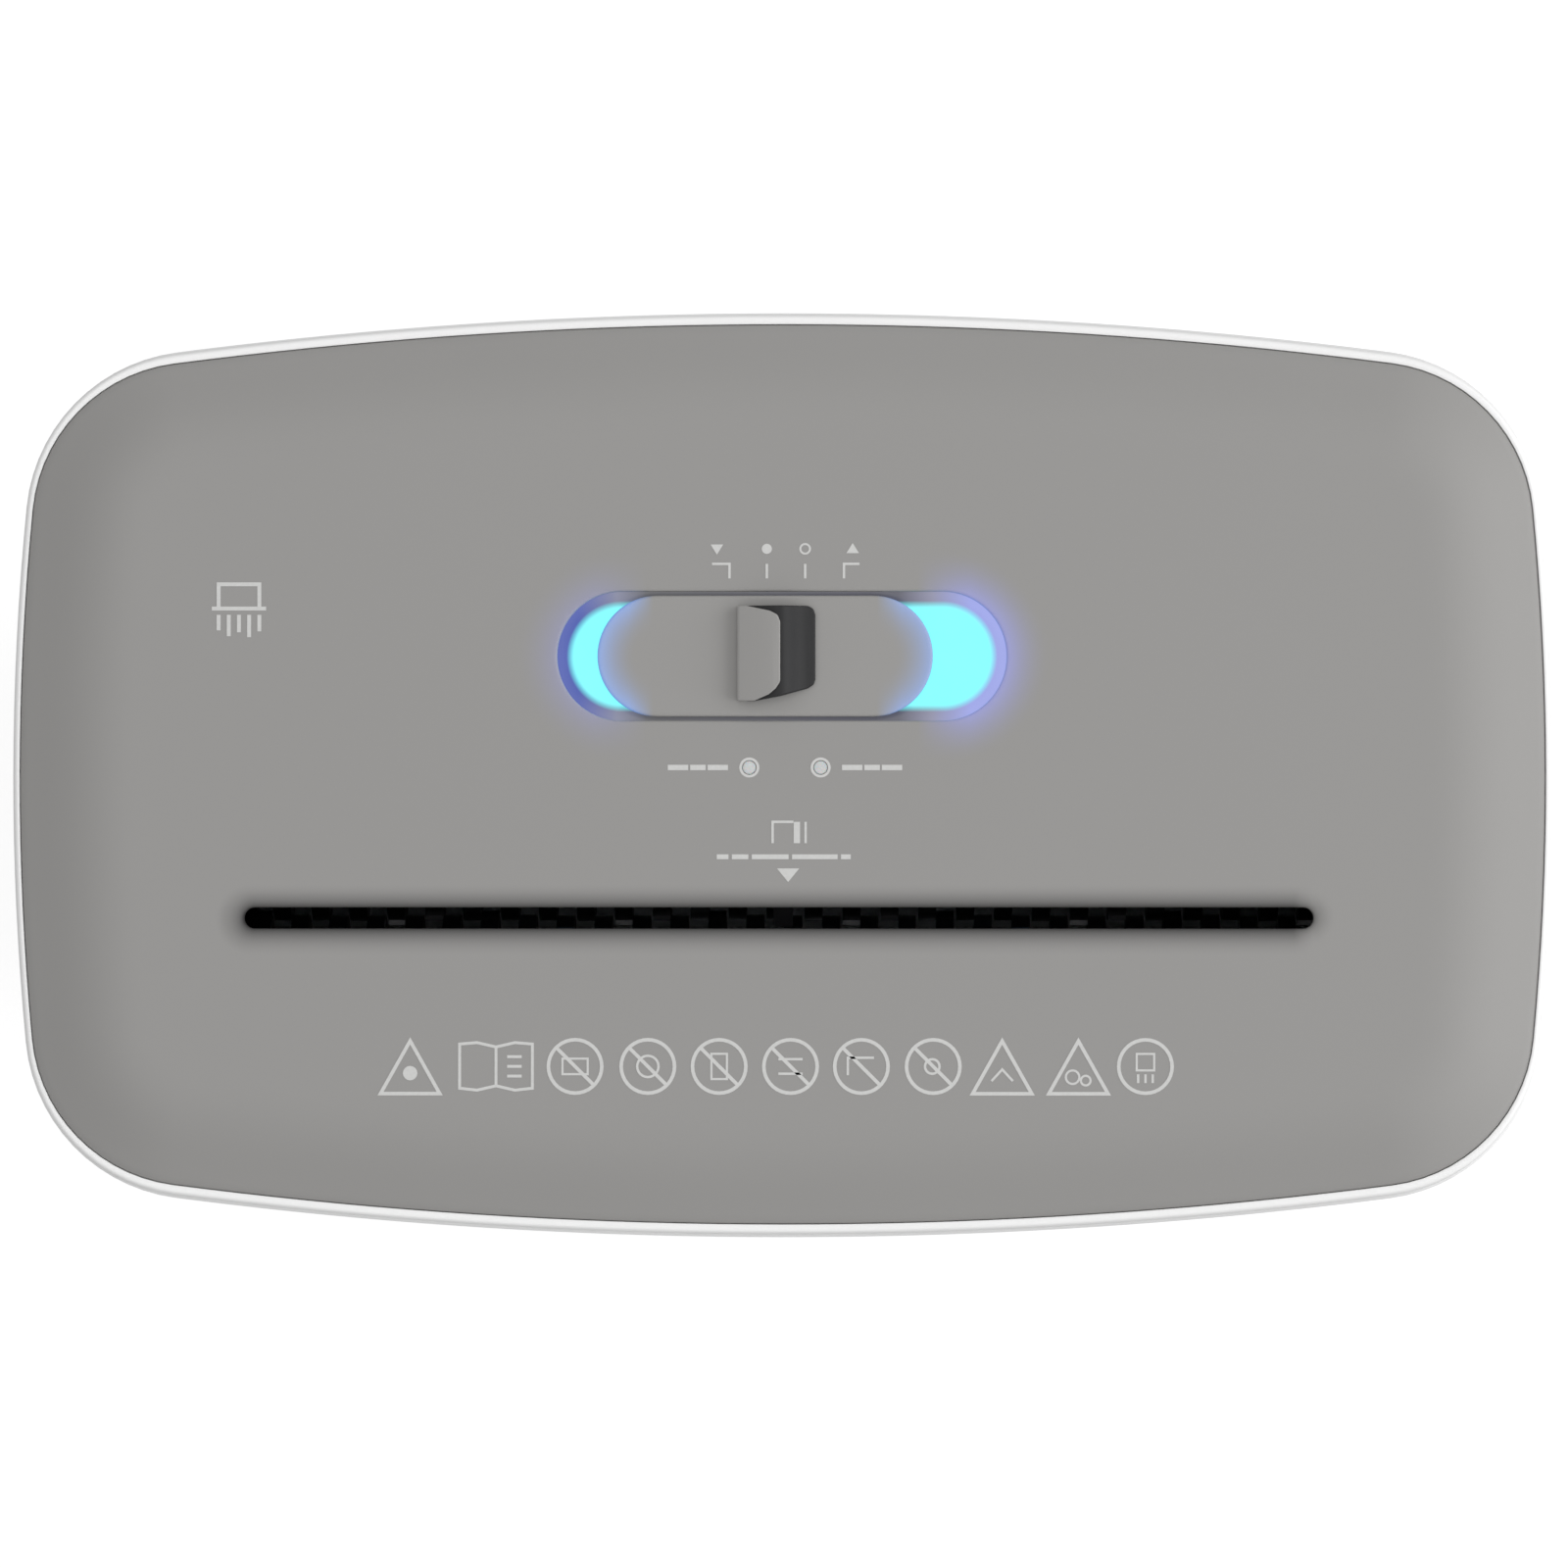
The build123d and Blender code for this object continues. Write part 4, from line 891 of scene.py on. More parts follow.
class SHREDDER_OT_lens(Builder):
    """Lit lens under the slider, and the two indicator lenses"""

    bl_idname = "shredder.lens"
    bl_label = "Lens and Lamps"

    def build(self):
        dip = 0.3 * MM
        border = half_size("light_lens")[1]
        steps = [(border, LENS_LOW), (border, LENS_TOP - 0.3 * MM), (border - 0.3 * MM, LENS_TOP)]
        steps += [(LENS_R + 0.5 * MM, LENS_TOP), (LENS_R, LENS_TOP - dip), (LENS_R - 0.5 * MM, LENS_TOP - dip)]
        skin = Skin()
        rings = skin.tower([stadium_loop(0.0, SWITCH_Y, RECESS_STRAIGHT, r, z, 32) for r, z in steps])
        hole = (-15.6 * MM, 16.6 * MM, SWITCH_Y - 4.4 * MM, SWITCH_Y + 4.4 * MM)
        upper, lower = skin.tower([rect_loop(*hole, z) for z in (LENS_TOP - dip, LENS_LOW)])
        skin.fill(rings[-1], upper)
        skin.fill(rings[0], lower)
        place(skin.piece("light_lens_skin", lens_finish(self.colours)), "head", "lit_lens", "light_lens")
        milky = Finish("Milky_Lens", (0.53, 0.54, 0.54), 0.3)
        milky.tinted(milky.noise(1.5 * MM), 0.04)
        milky.rough(milky.noise(2 * MM), 0.2, 0.3)
        milky.shader.inputs["Subsurface Weight"].default_value = 0.3
        milky.shader.inputs["Subsurface Scale"].default_value = 1 * MM
        low = node_span("indicator_lenses", 2)[0]
        for x, side in zip(LAMP_XS, ("left", "right")):
            dome = [(1.0, low), (1.0, PANEL_TOP - 0.25 * MM), (0.9, PANEL_TOP - 0.1 * MM), (0.6, PANEL_TOP - 0.02 * MM)]
            skin = Skin()
            skin.block([circle_loop(x, LAMP_Y, (LAMP_R - 0.04 * MM) * r, z) for r, z in dome])
            made = skin.piece("indicator_lens_" + side, milky.material)
            place(made, "head", "indicator_white", *(["indicator_lenses"] if side == "left" else []))


class SHREDDER_OT_marks(Builder):
    """Printed symbols on the panel"""

    bl_idname = "shredder.marks"
    bl_label = "Printed Symbols"

    def next_height(self):
        """Top of the next stroke: each a hair different, so crossing strokes have no faces in common."""
        self.strokes += 1
        return PANEL_TOP + self.sizes.mark_height * (1 + 0.1 * (self.strokes % 4))

    def stroke(self, points, width=None, closed=False):
        """A raised line of even width through points given in millimetres."""
        half = (width or self.sizes.mark_width) / 2
        flat = [Vector((x * MM, y * MM)) for x, y in points]
        count = len(flat)
        sides = []
        for i, point in enumerate(flat):
            before = flat[i - 1] if closed or i > 0 else None
            after = flat[(i + 1) % count] if closed or i < count - 1 else None
            ways = [w.normalized() for w in (before and point - before, after and after - point) if w]
            middle = sum(ways, Vector((0.0, 0.0))).normalized()
            normal = Vector((-middle[1], middle[0]))
            reach = half / max(0.35, normal.dot(Vector((-ways[0][1], ways[0][0]))))
            sides.append((point + normal * reach, point - normal * reach))
        low, high = PANEL_TOP - 0.02 * MM, self.next_height()
        corners = [((a, low), (a, high), (b, high), (b, low)) for a, b in sides]
        rings = [self.skin.ring([(*p, z) for p, z in four]) for four in corners]
        for i in range(count if closed else count - 1):
            self.skin.bridge(rings[i], rings[(i + 1) % count])
        if not closed:
            self.skin.cap(rings[0])
            self.skin.cap(rings[-1])

    def solid(self, points):
        """A filled convex shape through points given in millimetres."""
        low, high = PANEL_TOP - 0.02 * MM, self.next_height()
        self.skin.block([[Vector((x * MM, y * MM, z)) for x, y in points] for z in (low, high)])

    def round_points(self, x, y, radius, steps):
        """Points on a circle."""
        return [(x + radius * cos(t), y + radius * sin(t)) for t in full_turn(steps)]

    def ring(self, x, y, radius, width=None, steps=36):
        """A round line."""
        self.stroke(self.round_points(x, y, radius, steps), width, closed=True)

    def dot(self, x, y, radius):
        """A filled circle."""
        self.solid(self.round_points(x, y, radius, 16))

    def triangle(self, x, y, half):
        """The outline of a triangle that stands on its base."""
        low, high = y - half * 0.92, y + half * 0.86
        self.stroke([(x - half, low), (x + half, low), (x, high)], closed=True)

    def barred(self, x, y):
        """A circle crossed by a bar."""
        radius = 5.5
        self.ring(x, y, radius)
        reach = radius * 0.70
        self.stroke([(x - reach, y + reach), (x + reach, y - reach)])

    def sheet(self, x, y, half_w, half_h):
        """A thin rectangle."""
        corners = rect_loop(x - half_w, x + half_w, y - half_h, y + half_h, 0.0)
        self.stroke([(c.x, c.y) for c in corners], 0.45 * MM, closed=True)

    def switch_marks(self):
        """Ticks for the four switch positions, with a plain symbol for each."""
        thin = 0.5 * MM
        low, high, label = 40.2, 43.2, 46.3
        self.stroke([(-14.4, high), (-10.8, high), (-10.8, low)], thin)
        self.stroke([(-3.1, high), (-3.1, low)], thin)
        self.stroke([(4.8, high), (4.8, low)], thin)
        self.stroke([(16.0, high), (12.8, high), (12.8, low)], thin)
        for x, way in ((-13.4, -1), (14.6, 1)):
            self.solid([(x - 1.3, label - way * 0.9), (x + 1.3, label - way * 0.9), (x, label + way * 1.2)][::way])
        self.dot(-3.1, label, 1.05)
        self.ring(4.8, label, 1.0, 0.4 * MM, 20)

    def lamp_marks(self):
        """Rings round the lamps with a broken rule beside each."""
        y = LAMP_Y / MM
        for x, side in zip(LAMP_XS, (-1, 1)):
            middle = x / MM
            self.ring(middle, y, 1.8, 0.55 * MM, 24)
            for start, end in ((4.4, 8.6), (9.0, 12.2), (12.6, 16.8)):
                self.stroke([(middle + side * start, y), (middle + side * end, y)], 1.1 * MM)

    def feed_marks(self):
        """A sheet going down into the slot, a broken rule, and an arrow."""
        self.stroke([(-1.9, -14.4), (-1.9, -10.0), (2.4, -10.0)], 0.5 * MM)
        self.stroke([(3.1, -14.4), (3.1, -10.0)], 1.3 * MM)
        self.stroke([(4.9, -14.4), (4.9, -10.0)], 0.5 * MM)
        x = -13.4
        for width in (2.4, 3.4, 7.6, 9.4, 2.0):
            self.stroke([(x, -17.2), (x + width, -17.2)], 1.0 * MM)
            x += width + 0.7
        self.solid([(-1.0, -19.6), (1.3, -22.4), (3.6, -19.6)])

    def care_marks(self):
        """Row of plain care symbols in front of the slot."""
        y = -60.4
        self.triangle(-76.6, y, 6.1)
        self.dot(-76.6, y - 1.4, 1.5)
        for side in (-1, 1):
            page = [(-58.9, y - 4.0), (-58.9 + side * 3.9, y - 4.9), (-58.9 + side * 7.5, y - 4.5)]
            page += [(-58.9 + side * 7.5, y + 4.6), (-58.9 + side * 3.9, y + 4.9), (-58.9, y + 4.0)]
            self.stroke(page, 0.6 * MM)
        self.stroke([(-58.9, y - 4.0), (-58.9, y + 4.0)], 0.6 * MM)
        for row in (-2.0, 0.0, 2.0):
            self.stroke([(-56.6, y + row), (-53.6, y + row)], 0.6 * MM)
        for x in (-42.6, -27.6, -12.9, 1.8, 16.4, 31.2):
            self.barred(x, y)
        self.sheet(-42.6, y, 2.6, 1.6)
        self.ring(-27.6, y, 2.2, 0.5 * MM, 24)
        self.sheet(-12.9, y, 1.6, 2.6)
        for row in (-1.5, 1.5):
            self.stroke([(-0.7, y + row), (4.3, y + row)], 0.5 * MM)
        self.stroke([(13.6, y - 1.8), (13.6, y + 1.8), (19.0, y + 1.8)], 0.5 * MM)
        self.ring(31.0, y, 1.5, 0.5 * MM, 20)
        for x in (45.4, 61.1):
            self.triangle(x, y, 6.1)
        self.stroke([(43.2, y - 3.0), (45.4, y - 0.6), (47.6, y - 3.0)], 0.5 * MM)
        self.ring(59.9, y - 2.2, 1.4, 0.45 * MM, 18)
        self.ring(62.6, y - 2.9, 1.0, 0.45 * MM, 18)
        self.ring(74.9, y, 5.5)
        self.sheet(74.9, y + 0.9, 1.8, 1.7)
        for x in (73.4, 74.9, 76.4):
            self.stroke([(x, y - 1.6), (x, y - 3.4)], 0.5 * MM)

    def emblem(self):
        """A plain sheet that ends in strips."""
        x, y = -112.0, 34.6
        self.stroke([(x - 4.2, y - 0.6), (x - 4.2, y + 4.4), (x + 4.2, y + 4.4), (x + 4.2, y - 0.6)], 0.8 * MM)
        self.stroke([(x - 5.6, y - 0.6), (x + 5.6, y - 0.6)], 0.8 * MM)
        for strip, reach in zip((-4.2, -2.1, 0.0, 2.1, 4.2), (3.2, 4.4, 3.6, 4.6, 3.4)):
            self.stroke([(x + strip, y - 1.9), (x + strip, y - 1.9 - reach)], 0.8 * MM)

    def build(self):
        self.skin = Skin()
        self.strokes = 0
        self.switch_marks()
        self.lamp_marks()
        self.feed_marks()
        self.care_marks()
        self.emblem()
        made = self.skin.piece("printed_symbols", printed(self.colours))
        place(made, "head", "indicator_white")


class SHREDDER_OT_bin(Builder):
    """Tapered bin with its window and the tab that works the safety switch"""

    bl_idname = "shredder.bin"
    bl_label = "Waste Bin"

    frame_half = (40 * MM, 80 * MM)
    pane_half = (32 * MM, 70 * MM)
    pane_round = 12 * MM
    pane_z = 130 * MM
    shares = (-1.0, -0.96, -0.91, -0.85, -0.78, -0.6, -0.3, 0.0, 0.3, 0.6, 0.78, 0.85, 0.91, 0.96, 1.0)

    def taper(self, z):
        """How far in the wall lies at a height."""
        return self.sizes.bin_drop * (BIN_RIM - z) / (BIN_RIM - BIN_LOW)

    def on_front(self, x, z, depth):
        """A point on the front wall, further in by depth."""
        s = self.sizes
        radius = s.long_radius - 10 * MM
        rise = radius - self.half_d
        return Vector((x, rise - sqrt((radius - self.taper(z) - depth) ** 2 - x * x), z))

    def rounded(self, x, z, half_w, half_h, radius):
        """The point of a rounded rectangle that faces a point of the square frame round it."""
        px = x / self.frame_half[0] * half_w
        pz = z / self.frame_half[1] * half_h
        over_x, over_z = abs(px) - (half_w - radius), abs(pz) - (half_h - radius)
        if over_x > 0 and over_z > 0:
            reach = radius / hypot(over_x, over_z)
            px = (half_w - radius + over_x * reach) * (1 if px > 0 else -1)
            pz = (half_h - radius + over_z * reach) * (1 if pz > 0 else -1)
        return px, pz

    def pane_loop(self, border, margin, depth):
        """A loop inside the window frame, further in by margin."""
        half_w, half_h = self.pane_half[0] - margin, self.pane_half[1] - margin
        radius = max(1 * MM, self.pane_round - margin)
        points = [self.rounded(x, z - self.pane_z, half_w, half_h, radius) for x, z in border]
        return [self.on_front(x, z + self.pane_z, depth) for x, z in points]

    def build(self):
        s = self.sizes
        self.half_d = half_size("waste_bin")[1] - 3 * MM
        half_w = half_size("waste_bin")[0] - 3 * MM
        stops = [abs(share) * self.frame_half[0] for share in self.shares if share > 0]
        radii = (s.long_radius - 10 * MM, s.side_radius - 10 * MM, s.corner_radius - 6 * MM)
        rays = barrel_rays(half_w, self.half_d, *radii, stops)
        frame_z = [self.pane_z + share * self.frame_half[1] for share in self.shares]
        levels = [12 * MM, 30 * MM, *frame_z, 222 * MM, 240 * MM, BIN_RIM - 4 * MM]
        foot = 6 * MM
        low_inset = self.taper(BIN_LOW)
        outer = [(low_inset + 9 * MM, BIN_LOW)]
        turns = (0.0, 0.4, 0.8, 1.2)
        outer += [(low_inset + foot * (1 - sin(t)), BIN_LOW + foot * (1 - cos(t))) for t in turns]
        outer += [(self.taper(z), z) for z in levels]
        skin = Skin()
        outside = [skin.ring(loop_at(rays, d, z)) for d, z in outer]
        inner_levels = [max(z, BIN_LOW + 3 * MM) for _, z in outer]
        inner = [(max(d, self.taper(z)) + s.bin_wall, z) for (d, _), z in zip(outer, inner_levels)]
        inside = [skin.ring(loop_at(rays, d, z)) for d, z in inner]
        low_row, high_row = len(outer) - len(levels) + 2, len(outer) - 4
        limit = self.frame_half[0] * 0.999
        columns = [i for i, p in enumerate(outside[low_row]) if p.co[1] < 0 and abs(p.co[0]) < limit]
        first, last = columns[0] - 1, columns[-1] + 1

        def is_open(row, col):
            """Whether a cell of the wall lies inside the window's frame."""
            return low_row <= row < high_row and first <= col < last

        for row in range(len(outer) - 1):
            for col in range(len(rays)):
                if not is_open(row, col):
                    nxt = (col + 1) % len(rays)
                    for rings in (outside, inside):
                        low, high = rings[row], rings[row + 1]
                        skin.mesh.faces.new((low[col], low[nxt], high[nxt], high[col]))
        cells = [(low_row, c) for c in range(first, last)] + [(r, last) for r in range(low_row, high_row)]
        cells += [(high_row, c) for c in range(last, first, -1)] + [(r, first) for r in range(high_row, low_row, -1)]
        border = [(outside[r][c].co[0], outside[r][c].co[2]) for r, c in cells]
        border = [(x / abs(border[0][0]) * self.frame_half[0], z) for x, z in border]
        wall = s.bin_wall
        faces = [(-2.2 * MM, 0.0), (-0.9 * MM, 0.0), (-0.25 * MM, 0.12 * MM), (0.0, 0.5 * MM)]
        faces += [(0.0, wall - 0.3 * MM), (-0.3 * MM, wall), (-1.5 * MM, wall)]
        rings = [[outside[r][c] for r, c in cells]]
        rings += [skin.ring(self.pane_loop(border, m, d)) for m, d in faces]
        rings.append([inside[r][c] for r, c in cells])
        for a, b in zip(rings, rings[1:]):
            skin.bridge(a, b)
        skin.cap(outside[0])
        skin.cap(inside[0])
        top = BIN_RIM
        lip = [(0.0, top - 4 * MM), (-2.4 * MM, top - 4 * MM), (-3 * MM, top - 3.4 * MM), (-3 * MM, top - 0.9 * MM)]
        lip += [(-2.7 * MM, top - 0.3 * MM), (-2.1 * MM, top), (1.6 * MM, top), (wall, top - 0.6 * MM)]
        lip_rings = skin.tower([loop_at(rays, d, z) for d, z in lip])
        skin.bridge(outside[-1], lip_rings[0])
        skin.bridge(lip_rings[-1], inside[-1])
        finish = gloss_white("Bin_White", self.colours, 0.4)
        made = skin.piece("waste_bin_skin", finish)
        place(made, "bin", "white_plastic", "waste_bin")
        self.tab(finish)
        self.pane(border)

    def tab(self, finish):
        """The rib on the rim that works the safety switch."""
        x, half, foot = node_middle("interlock_plunger", 0), 4 * MM, 235 * MM
        top = node_span("interlock_plunger", 2)[0] - 0.3 * MM
        skin = Skin()
        skin.block([rect_loop(x - 5.8 * MM, x + 5 * MM, -half, half, z) for z in (foot, top)])
        made = skin.piece("interlock_tab", finish)
        soften(made, 0.6 * MM)
        place(made, "bin", "white_plastic")

    def pane(self, border):
        """The smoked window, a little behind the wall's face."""
        gap, face, back = 0.15 * MM, 0.55 * MM, 2.0 * MM
        skin = Skin()
        shrink = [0.0, 4 * MM, 10 * MM, 18 * MM, 26 * MM, 30.5 * MM]
        sides = []
        for depth in (face, back):
            rings = [skin.ring(self.pane_loop(border, gap + m, depth)) for m in shrink]
            for a, b in zip(rings, rings[1:]):
                skin.bridge(a, b)
            skin.cap(rings[-1])
            sides.append(rings[0])
        skin.bridge(*sides)
        made = skin.piece("bin_window_pane", smoked(self.colours))
        place(made, "bin", "window_plastic", "bin_window")


class SHREDDER_OT_gland(Builder):
    """Rubber bushing for the cord, in the back wall"""

    bl_idname = "shredder.gland"
    bl_label = "Cord Gland"

    def build(self):
        bore, steps = 3.75 * MM, 40
        wall = GLAND_FRONT + 5 * MM
        outline = [(bore, GLAND_FRONT), (9.4 * MM, GLAND_FRONT), (10 * MM, GLAND_FRONT + 0.6 * MM)]
        outline += [(10 * MM, wall + 0.4 * MM), (9.3 * MM, wall + 1.6 * MM), (8 * MM, wall + 1.9 * MM)]
        for ring in range(3):
            y = wall + 2.4 * MM + ring * 1.4 * MM
            less = ring * 0.5 * MM
            outline += [(7.9 * MM - less, y), (7.6 * MM - less, y + 0.5 * MM)]
            outline += [(7.0 * MM - less, y + 0.6 * MM), (7.0 * MM - less, y + 1.0 * MM)]
        outline = [(r, y) for r, y in outline if y < GLAND_BACK - 0.4 * MM]
        outline += [(5.2 * MM, GLAND_BACK), (bore + 0.5 * MM, GLAND_BACK), (bore, GLAND_BACK - 0.5 * MM)]
        turns = full_turn(steps)
        skin = Skin()
        rings = skin.tower(
            [[Vector((GLAND_X + r * cos(t), y, GLAND_Z + r * sin(t))) for t in turns] for r, y in outline]
        )
        skin.bridge(rings[-1], rings[0])
        place(skin.piece("cord_gland_skin", rubber("Gland_Rubber")), "head", "rubber", "cord_gland")


def screw_tree():
    """A node tree that puts a cross-head screw on each point, facing the way the point's aim says."""
    tree = bpy.data.node_groups.new("Screw_Heads", "GeometryNodeTree")
    face = tree.interface
    face.new_socket("Geometry", in_out="INPUT", socket_type="NodeSocketGeometry")
    sizes = {"Head Radius": 3.0 * MM, "Head Height": 1.8 * MM, "Cross Width": 0.7 * MM, "Cross Depth": 1.1 * MM}
    for name, value in sizes.items():
        socket = face.new_socket(name, in_out="INPUT", socket_type="NodeSocketFloat")
        socket.default_value = value
        socket.subtype = "DISTANCE"
    face.new_socket("Aim", in_out="INPUT", socket_type="NodeSocketVector")
    face.new_socket("Finish", in_out="INPUT", socket_type="NodeSocketMaterial")
    face.new_socket("Geometry", in_out="OUTPUT", socket_type="NodeSocketGeometry")

    def node(kind, inputs=None, **settings):
        """A node with its settings, each input a value or another node's output."""
        made = tree.nodes.new(kind)
        for key, value in settings.items():
            setattr(made, key, value)
        for key, value in (inputs or {}).items():
            if isinstance(value, bpy.types.NodeSocket):
                tree.links.new(value, made.inputs[key])
            else:
                made.inputs[key].default_value = value
        return made

    def times(socket, factor):
        """A socket's value times a factor."""
        return node("ShaderNodeMath", {0: socket, 1: factor}, operation="MULTIPLY").outputs[0]

    given = node("NodeGroupInput").outputs
    radius, height = given["Head Radius"], given["Head Height"]
    shape = {"Vertices": 28, "Side Segments": 2, "Radius Top": times(radius, 0.72), "Radius Bottom": radius}
    head = node("GeometryNodeMeshCone", {**shape, "Depth": height})
    cross = node("GeometryNodeMeshBoolean", {"Mesh 1": head.outputs["Mesh"]}, operation="DIFFERENCE")
    long_side = times(radius, 1.15)
    for long_axis, short_axis in ((0, 1), (1, 0)):
        edges = {long_axis: long_side, short_axis: given["Cross Width"], 2: times(given["Cross Depth"], 2.0)}
        size = node("ShaderNodeCombineXYZ", edges)
        bar = node("GeometryNodeMeshCube", {"Size": size.outputs[0]})
        lift = node("ShaderNodeCombineXYZ", {2: height})
        moved = {"Geometry": bar.outputs["Mesh"], "Translation": lift.outputs[0]}
        shift = node("GeometryNodeTransform", moved)
        tree.links.new(shift.outputs["Geometry"], cross.inputs["Mesh 2"])
    turn = node("FunctionNodeAlignRotationToVector", {"Vector": given["Aim"]}, axis="Z")
    copies = {"Points": given["Geometry"], "Instance": cross.outputs["Mesh"], "Rotation": turn.outputs["Rotation"]}
    spread = node("GeometryNodeInstanceOnPoints", copies)
    real = node("GeometryNodeRealizeInstances", {"Geometry": spread.outputs["Instances"]})
    paint = node("GeometryNodeSetMaterial", {"Geometry": real.outputs["Geometry"], "Material": given["Finish"]})
    node("NodeGroupOutput", {0: paint.outputs["Geometry"]})
    return tree


def screws_from_tree(tree, name, points, aim, finish, radius, height):
    """Screws at the points, as one plain mesh."""
    data = bpy.data.meshes.new(name + "_points")
    data.from_pydata([tuple(p) for p in points], [], [])
    holder = add_object(data.name, data)
    modifier = holder.modifiers.new("Screws", "NODES")
    modifier.node_group = tree
    sockets = {item.name: item.identifier for item in tree.interface.items_tree if item.in_out == "INPUT"}
    values = {"Head Radius": radius, "Head Height": height, "Cross Width": radius * 0.26, "Cross Depth": height * 0.6}
    for key, value in {**values, "Aim": aim, "Finish": finish}.items():
        modifier[sockets[key]] = value
    bpy.context.view_layer.update()
    graph = bpy.context.evaluated_depsgraph_get()
    plain = bpy.data.meshes.new_from_object(holder.evaluated_get(graph))
    bpy.data.objects.remove(holder)
    plain.name = name
    return add_object(name, plain)


def solid_boxes(node):
    """The lowest and the highest corner of each separate solid in a node."""
    mesh = bmesh.new()
    mesh.from_mesh(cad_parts[node].data)
    bmesh.ops.remove_doubles(mesh, verts=mesh.verts[:], dist=1e-5)
    left, found = set(mesh.verts), []
    while left:
        stack, group = [left.pop()], []
        while stack:
            vert = stack.pop()
            group.append(vert.co.copy())
            near = [e.other_vert(vert) for e in vert.link_edges]
            fresh = [v for v in near if v in left]
            left.difference_update(fresh)
            stack += fresh
        low = Vector([min(p[k] for p in group) for k in range(3)])
        high = Vector([max(p[k] for p in group) for k in range(3)])
        found.append((low, high))
    mesh.free()
    return sorted(found, key=lambda pair: tuple(pair[0]))


class SHREDDER_OT_screws(Builder):
    """Cross-head screws of the base cover, the side plates and the tie rods"""

    bl_idname = "shredder.screws"
    bl_label = "Screws"

    def build(self):
        tree = screw_tree()
        finish = brushed("Screw_Zinc", (0.62, 0.62, 0.6), 0.3, (1, 1, 1)).material
        groups = []
        downs = solid_boxes("cover_screws")
        points = [((low[0] + high[0]) / 2, (low[1] + high[1]) / 2, low[2] + 1 * MM) for low, high in downs]
        groups.append(("cover_screw_heads", "cover_screws", points, (0, 0, -1), 3.2 * MM, 2 * MM))
        ups = solid_boxes("plate_screws")
        points = [((low[0] + high[0]) / 2, (low[1] + high[1]) / 2, high[2] - 0.9 * MM) for low, high in ups]
        groups.append(("plate_screw_heads", "plate_screws", points, (0, 0, 1), 3.0 * MM, 1.8 * MM))
        rods = solid_boxes("tie_rod_screws")
        for side, word in ((-1, "left"), (1, "right")):
            chosen = [pair for pair in rods if pair[0][0] * side > 0]
            points = [[(low[k] + high[k]) / 2 for k in range(3)] for low, high in chosen]
            node = "tie_rod_screws" if side > 0 else None
            groups.append((f"tie_screw_heads_{word}", node, points, (side, 0, 0), 4.5 * MM, 2.2 * MM))
        for name, node, points, aim, radius, height in groups:
            made = screws_from_tree(tree, name, points, aim, finish, radius, height)
            place(made, "head", "screw_steel", *([node] if node else []))


class SHREDDER_OT_inner_finishes(Builder):
    """Materials of the parts that keep their engineering shape"""

    bl_idname = "shredder.inner_finishes"
    bl_label = "Inner Finishes"

    def build(self):
        c = self.colours
        groups = (
            (moulded("Black_Plastic", c.black, 0.5, 0.5 * MM, 0.25, 0.1).material,
             "front_feed_guide rear_feed_guide front_stripper_comb rear_stripper_comb switch_housing "
             "slider_carrier motor_end_cap cooling_fan gear_cover interlock_switch paper_sensor "
             "paper_sensor_lever interlock_plunger power_board_parts thermal_cutout"),
            (moulded("Base_Charcoal", (0.03, 0.03, 0.032), 0.5, 0.6 * MM, 0.25, 0.08).material, "base_cover"),
            (brushed("Zinc_Steel", (0.58, 0.59, 0.58), 0.34, (3, 0.25, 3)).material,
             "left_side_plate right_side_plate tie_rods motor_screws front_shaft_clip rear_shaft_clip"),
            (brushed("Ground_Steel", (0.52, 0.52, 0.53), 0.22, (0.4, 3, 3)).material,
             "front_cutter_shaft rear_cutter_shaft gear_pins rotor_shaft"),
            (brushed("Cutter_Steel", (0.13, 0.13, 0.135), 0.42, (3, 0.8, 0.8), 0.2).material,
             "front_cutter_discs rear_cutter_discs"),
            (brushed("Gear_Steel", (0.24, 0.24, 0.245), 0.42, (1, 1, 1), 0.25).material,
             "front_sync_gear rear_sync_gear drive_gear second_reduction_gear"),
            (brushed("Brass", (0.62, 0.45, 0.2), 0.28, (0.5, 3, 3)).material,
             "cutter_bushes motor_pinion rotor_commutator"),
            (brushed("Motor_Can", (0.42, 0.43, 0.44), 0.38, (0.3, 3, 3)).material, "motor_can"),
            (moulded("Nylon", (0.72, 0.7, 0.63), 0.4, 0.8 * MM, 0.15, 0.04).material, "first_reduction_gear"),
            (moulded("Ferrite", (0.05, 0.05, 0.055), 0.6, 0.4 * MM, 0.4, 0.2).material,
             "motor_magnets motor_brushes"),
            (moulded("Wire_Sleeve", (0.4, 0.03, 0.02), 0.4, 1 * MM, 0.1, 0.08).material, "motor_leads"),
            (moulded("Lamp_Body", (0.7, 0.75, 0.8), 0.2, 1 * MM, 0.05, 0.03).material, "panel_lamps"),
            (rubber("Foot_Rubber"), "bin_feet"),
            (circuit_board(), "power_board control_board"),
            (wound_core(), "rotor_core"),
        )
        for finish, names in groups:
            for name in names.split():
                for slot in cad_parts[name].material_slots:
                    slot.material = finish


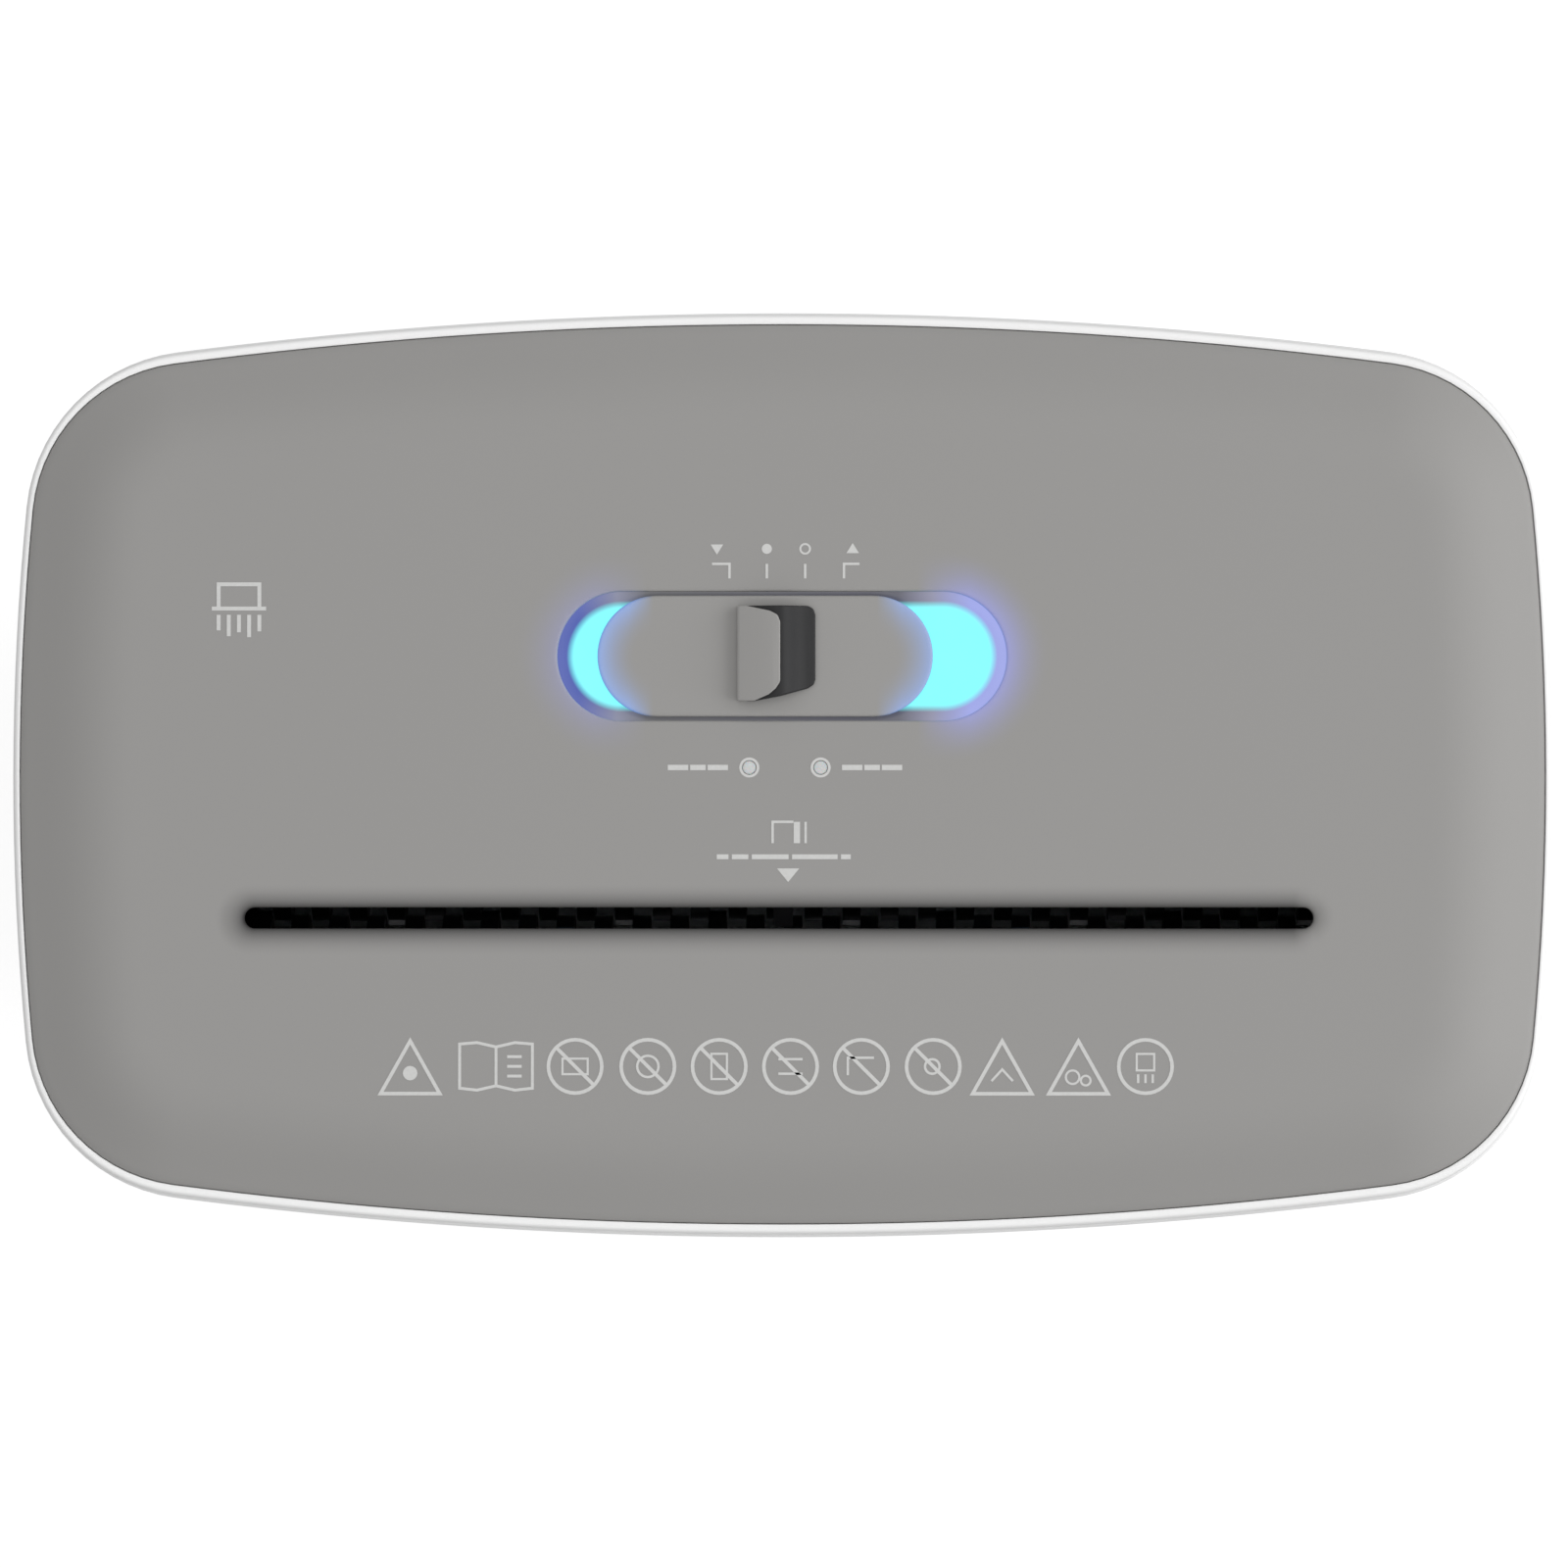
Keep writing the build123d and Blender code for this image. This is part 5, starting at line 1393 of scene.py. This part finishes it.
class SHREDDER_OT_stage(bpy.types.Operator):
    """Pale floor, soft lights and the camera above the panel"""

    bl_idname = "shredder.stage"
    bl_label = "Stage"

    def execute(self, context):
        """Reads the settings and sets the stage."""
        stage = context.scene.shredder_stage
        self.floor()
        self.lights(context.scene, stage)
        self.camera(context.scene, stage)
        context.scene.view_settings.view_transform = "Standard"
        return {"FINISHED"}

    def floor(self):
        """A wide floor that looks paler to the camera than to the other light."""
        half = 9.0
        data = bpy.data.meshes.new("floor")
        data.from_pydata([(-half, -half, 0), (half, -half, 0), (half, half, 0), (-half, half, 0)], [], [(0, 1, 2, 3)])
        made = Finish("Pale_Floor", (0.5, 0.5, 0.5), 0.8)
        made.tinted(made.noise(0.4), 0.01)
        made.shader.inputs["Emission Color"].default_value = (1, 1, 1, 1)
        seen = made.add("ShaderNodeLightPath").outputs["Is Camera Ray"]
        made.link(made.math("MULTIPLY", seen, 0.62), made.shader.inputs["Emission Strength"])
        data.materials.append(made.material)
        add_object("floor", data)

    def area(self, name, aim, distance, size, power):
        """A soft light that looks at the head from a direction."""
        light = bpy.data.lights.new(name, "AREA")
        light.size = size
        light.energy = power
        made = add_object(name, light)
        target = Vector((0, 0, 0.2))
        way = Vector(aim).normalized()
        made.location = target + way * distance
        made.rotation_euler = way.to_track_quat("Z", "Y").to_euler()

    def lights(self, scene, stage):
        """The even sky, and one light at the right and one above."""
        world = bpy.data.worlds.new("Soft_Sky")
        world.use_nodes = True
        nodes, links = world.node_tree.nodes, world.node_tree.links
        nodes["Background"].inputs["Color"].default_value = (1, 1, 1, 1)
        backdrop = nodes.new("ShaderNodeMapRange")
        backdrop.inputs["To Min"].default_value = stage.sky
        links.new(nodes.new("ShaderNodeLightPath").outputs["Is Camera Ray"], backdrop.inputs["Value"])
        links.new(backdrop.outputs["Result"], nodes["Background"].inputs["Strength"])
        scene.world = world
        self.area("key_light", (0.9, 0.05, 0.42), 2.6, 2.8, stage.key_power)
        self.area("top_light", (-0.05, 0.05, 1.0), 2.8, 2.2, stage.top_power)

    def camera(self, scene, stage):
        """The camera above the panel, leaning a little."""
        data = bpy.data.cameras.new("camera")
        data.sensor_width = 36.0
        data.lens = data.sensor_width * stage.camera_height / stage.view_width
        data.clip_end = 50.0
        made = add_object("camera", data)
        aim = Vector((sin(stage.lean_right), -sin(stage.lean_front), 1.0)).normalized()
        target = Vector((0.45 * MM, -2.2 * MM, PANEL_TOP))
        made.location = target + aim * stage.camera_height
        right = Vector((1, 0, 0))
        right = (right - aim * right.dot(aim)).normalized()
        up = aim.cross(right)
        made.rotation_euler = Matrix((right, up, aim)).transposed().to_euler()
        scene.camera = made


class SHREDDER_PT_panel(bpy.types.Panel):
    """Sidebar list of the shredder's operators"""

    bl_label = "Paper Shredder"
    bl_idname = "SHREDDER_PT_panel"
    bl_space_type = "VIEW_3D"
    bl_region_type = "UI"
    bl_category = "Shredder"

    def draw(self, context):
        for operator in OPERATORS:
            self.layout.operator(operator.bl_idname)
        for group in (context.scene.shredder_sizes, context.scene.shredder_colours, context.scene.shredder_stage):
            for key in group.bl_rna.properties.keys():
                if key not in ("rna_type", "name"):
                    self.layout.prop(group, key)


OPERATORS = (
    SHREDDER_OT_stage,
    SHREDDER_OT_top_panel,
    SHREDDER_OT_rim,
    SHREDDER_OT_shell,
    SHREDDER_OT_slider,
    SHREDDER_OT_lens,
    SHREDDER_OT_marks,
    SHREDDER_OT_bin,
    SHREDDER_OT_gland,
    SHREDDER_OT_screws,
    SHREDDER_OT_inner_finishes,
)
GROUPS = {
    "shredder_sizes": ShredderSizes,
    "shredder_colours": ShredderColours,
    "shredder_stage": ShredderStage,
}


def register():
    """Adds the classes and the settings."""
    for cls in (*GROUPS.values(), *OPERATORS, SHREDDER_PT_panel):
        bpy.utils.register_class(cls)
    for name, cls in GROUPS.items():
        setattr(bpy.types.Scene, name, bpy.props.PointerProperty(type=cls))


def unregister():
    """Takes away the settings and the classes."""
    for name in GROUPS:
        delattr(bpy.types.Scene, name)
    for cls in (SHREDDER_PT_panel, *reversed(OPERATORS), *reversed(GROUPS.values())):
        bpy.utils.unregister_class(cls)


def main():
    """Builds everything."""
    register()
    for operator in OPERATORS:
        getattr(bpy.ops.shredder, operator.bl_idname.split(".")[1])()


if __name__ == "__main__":
    main()
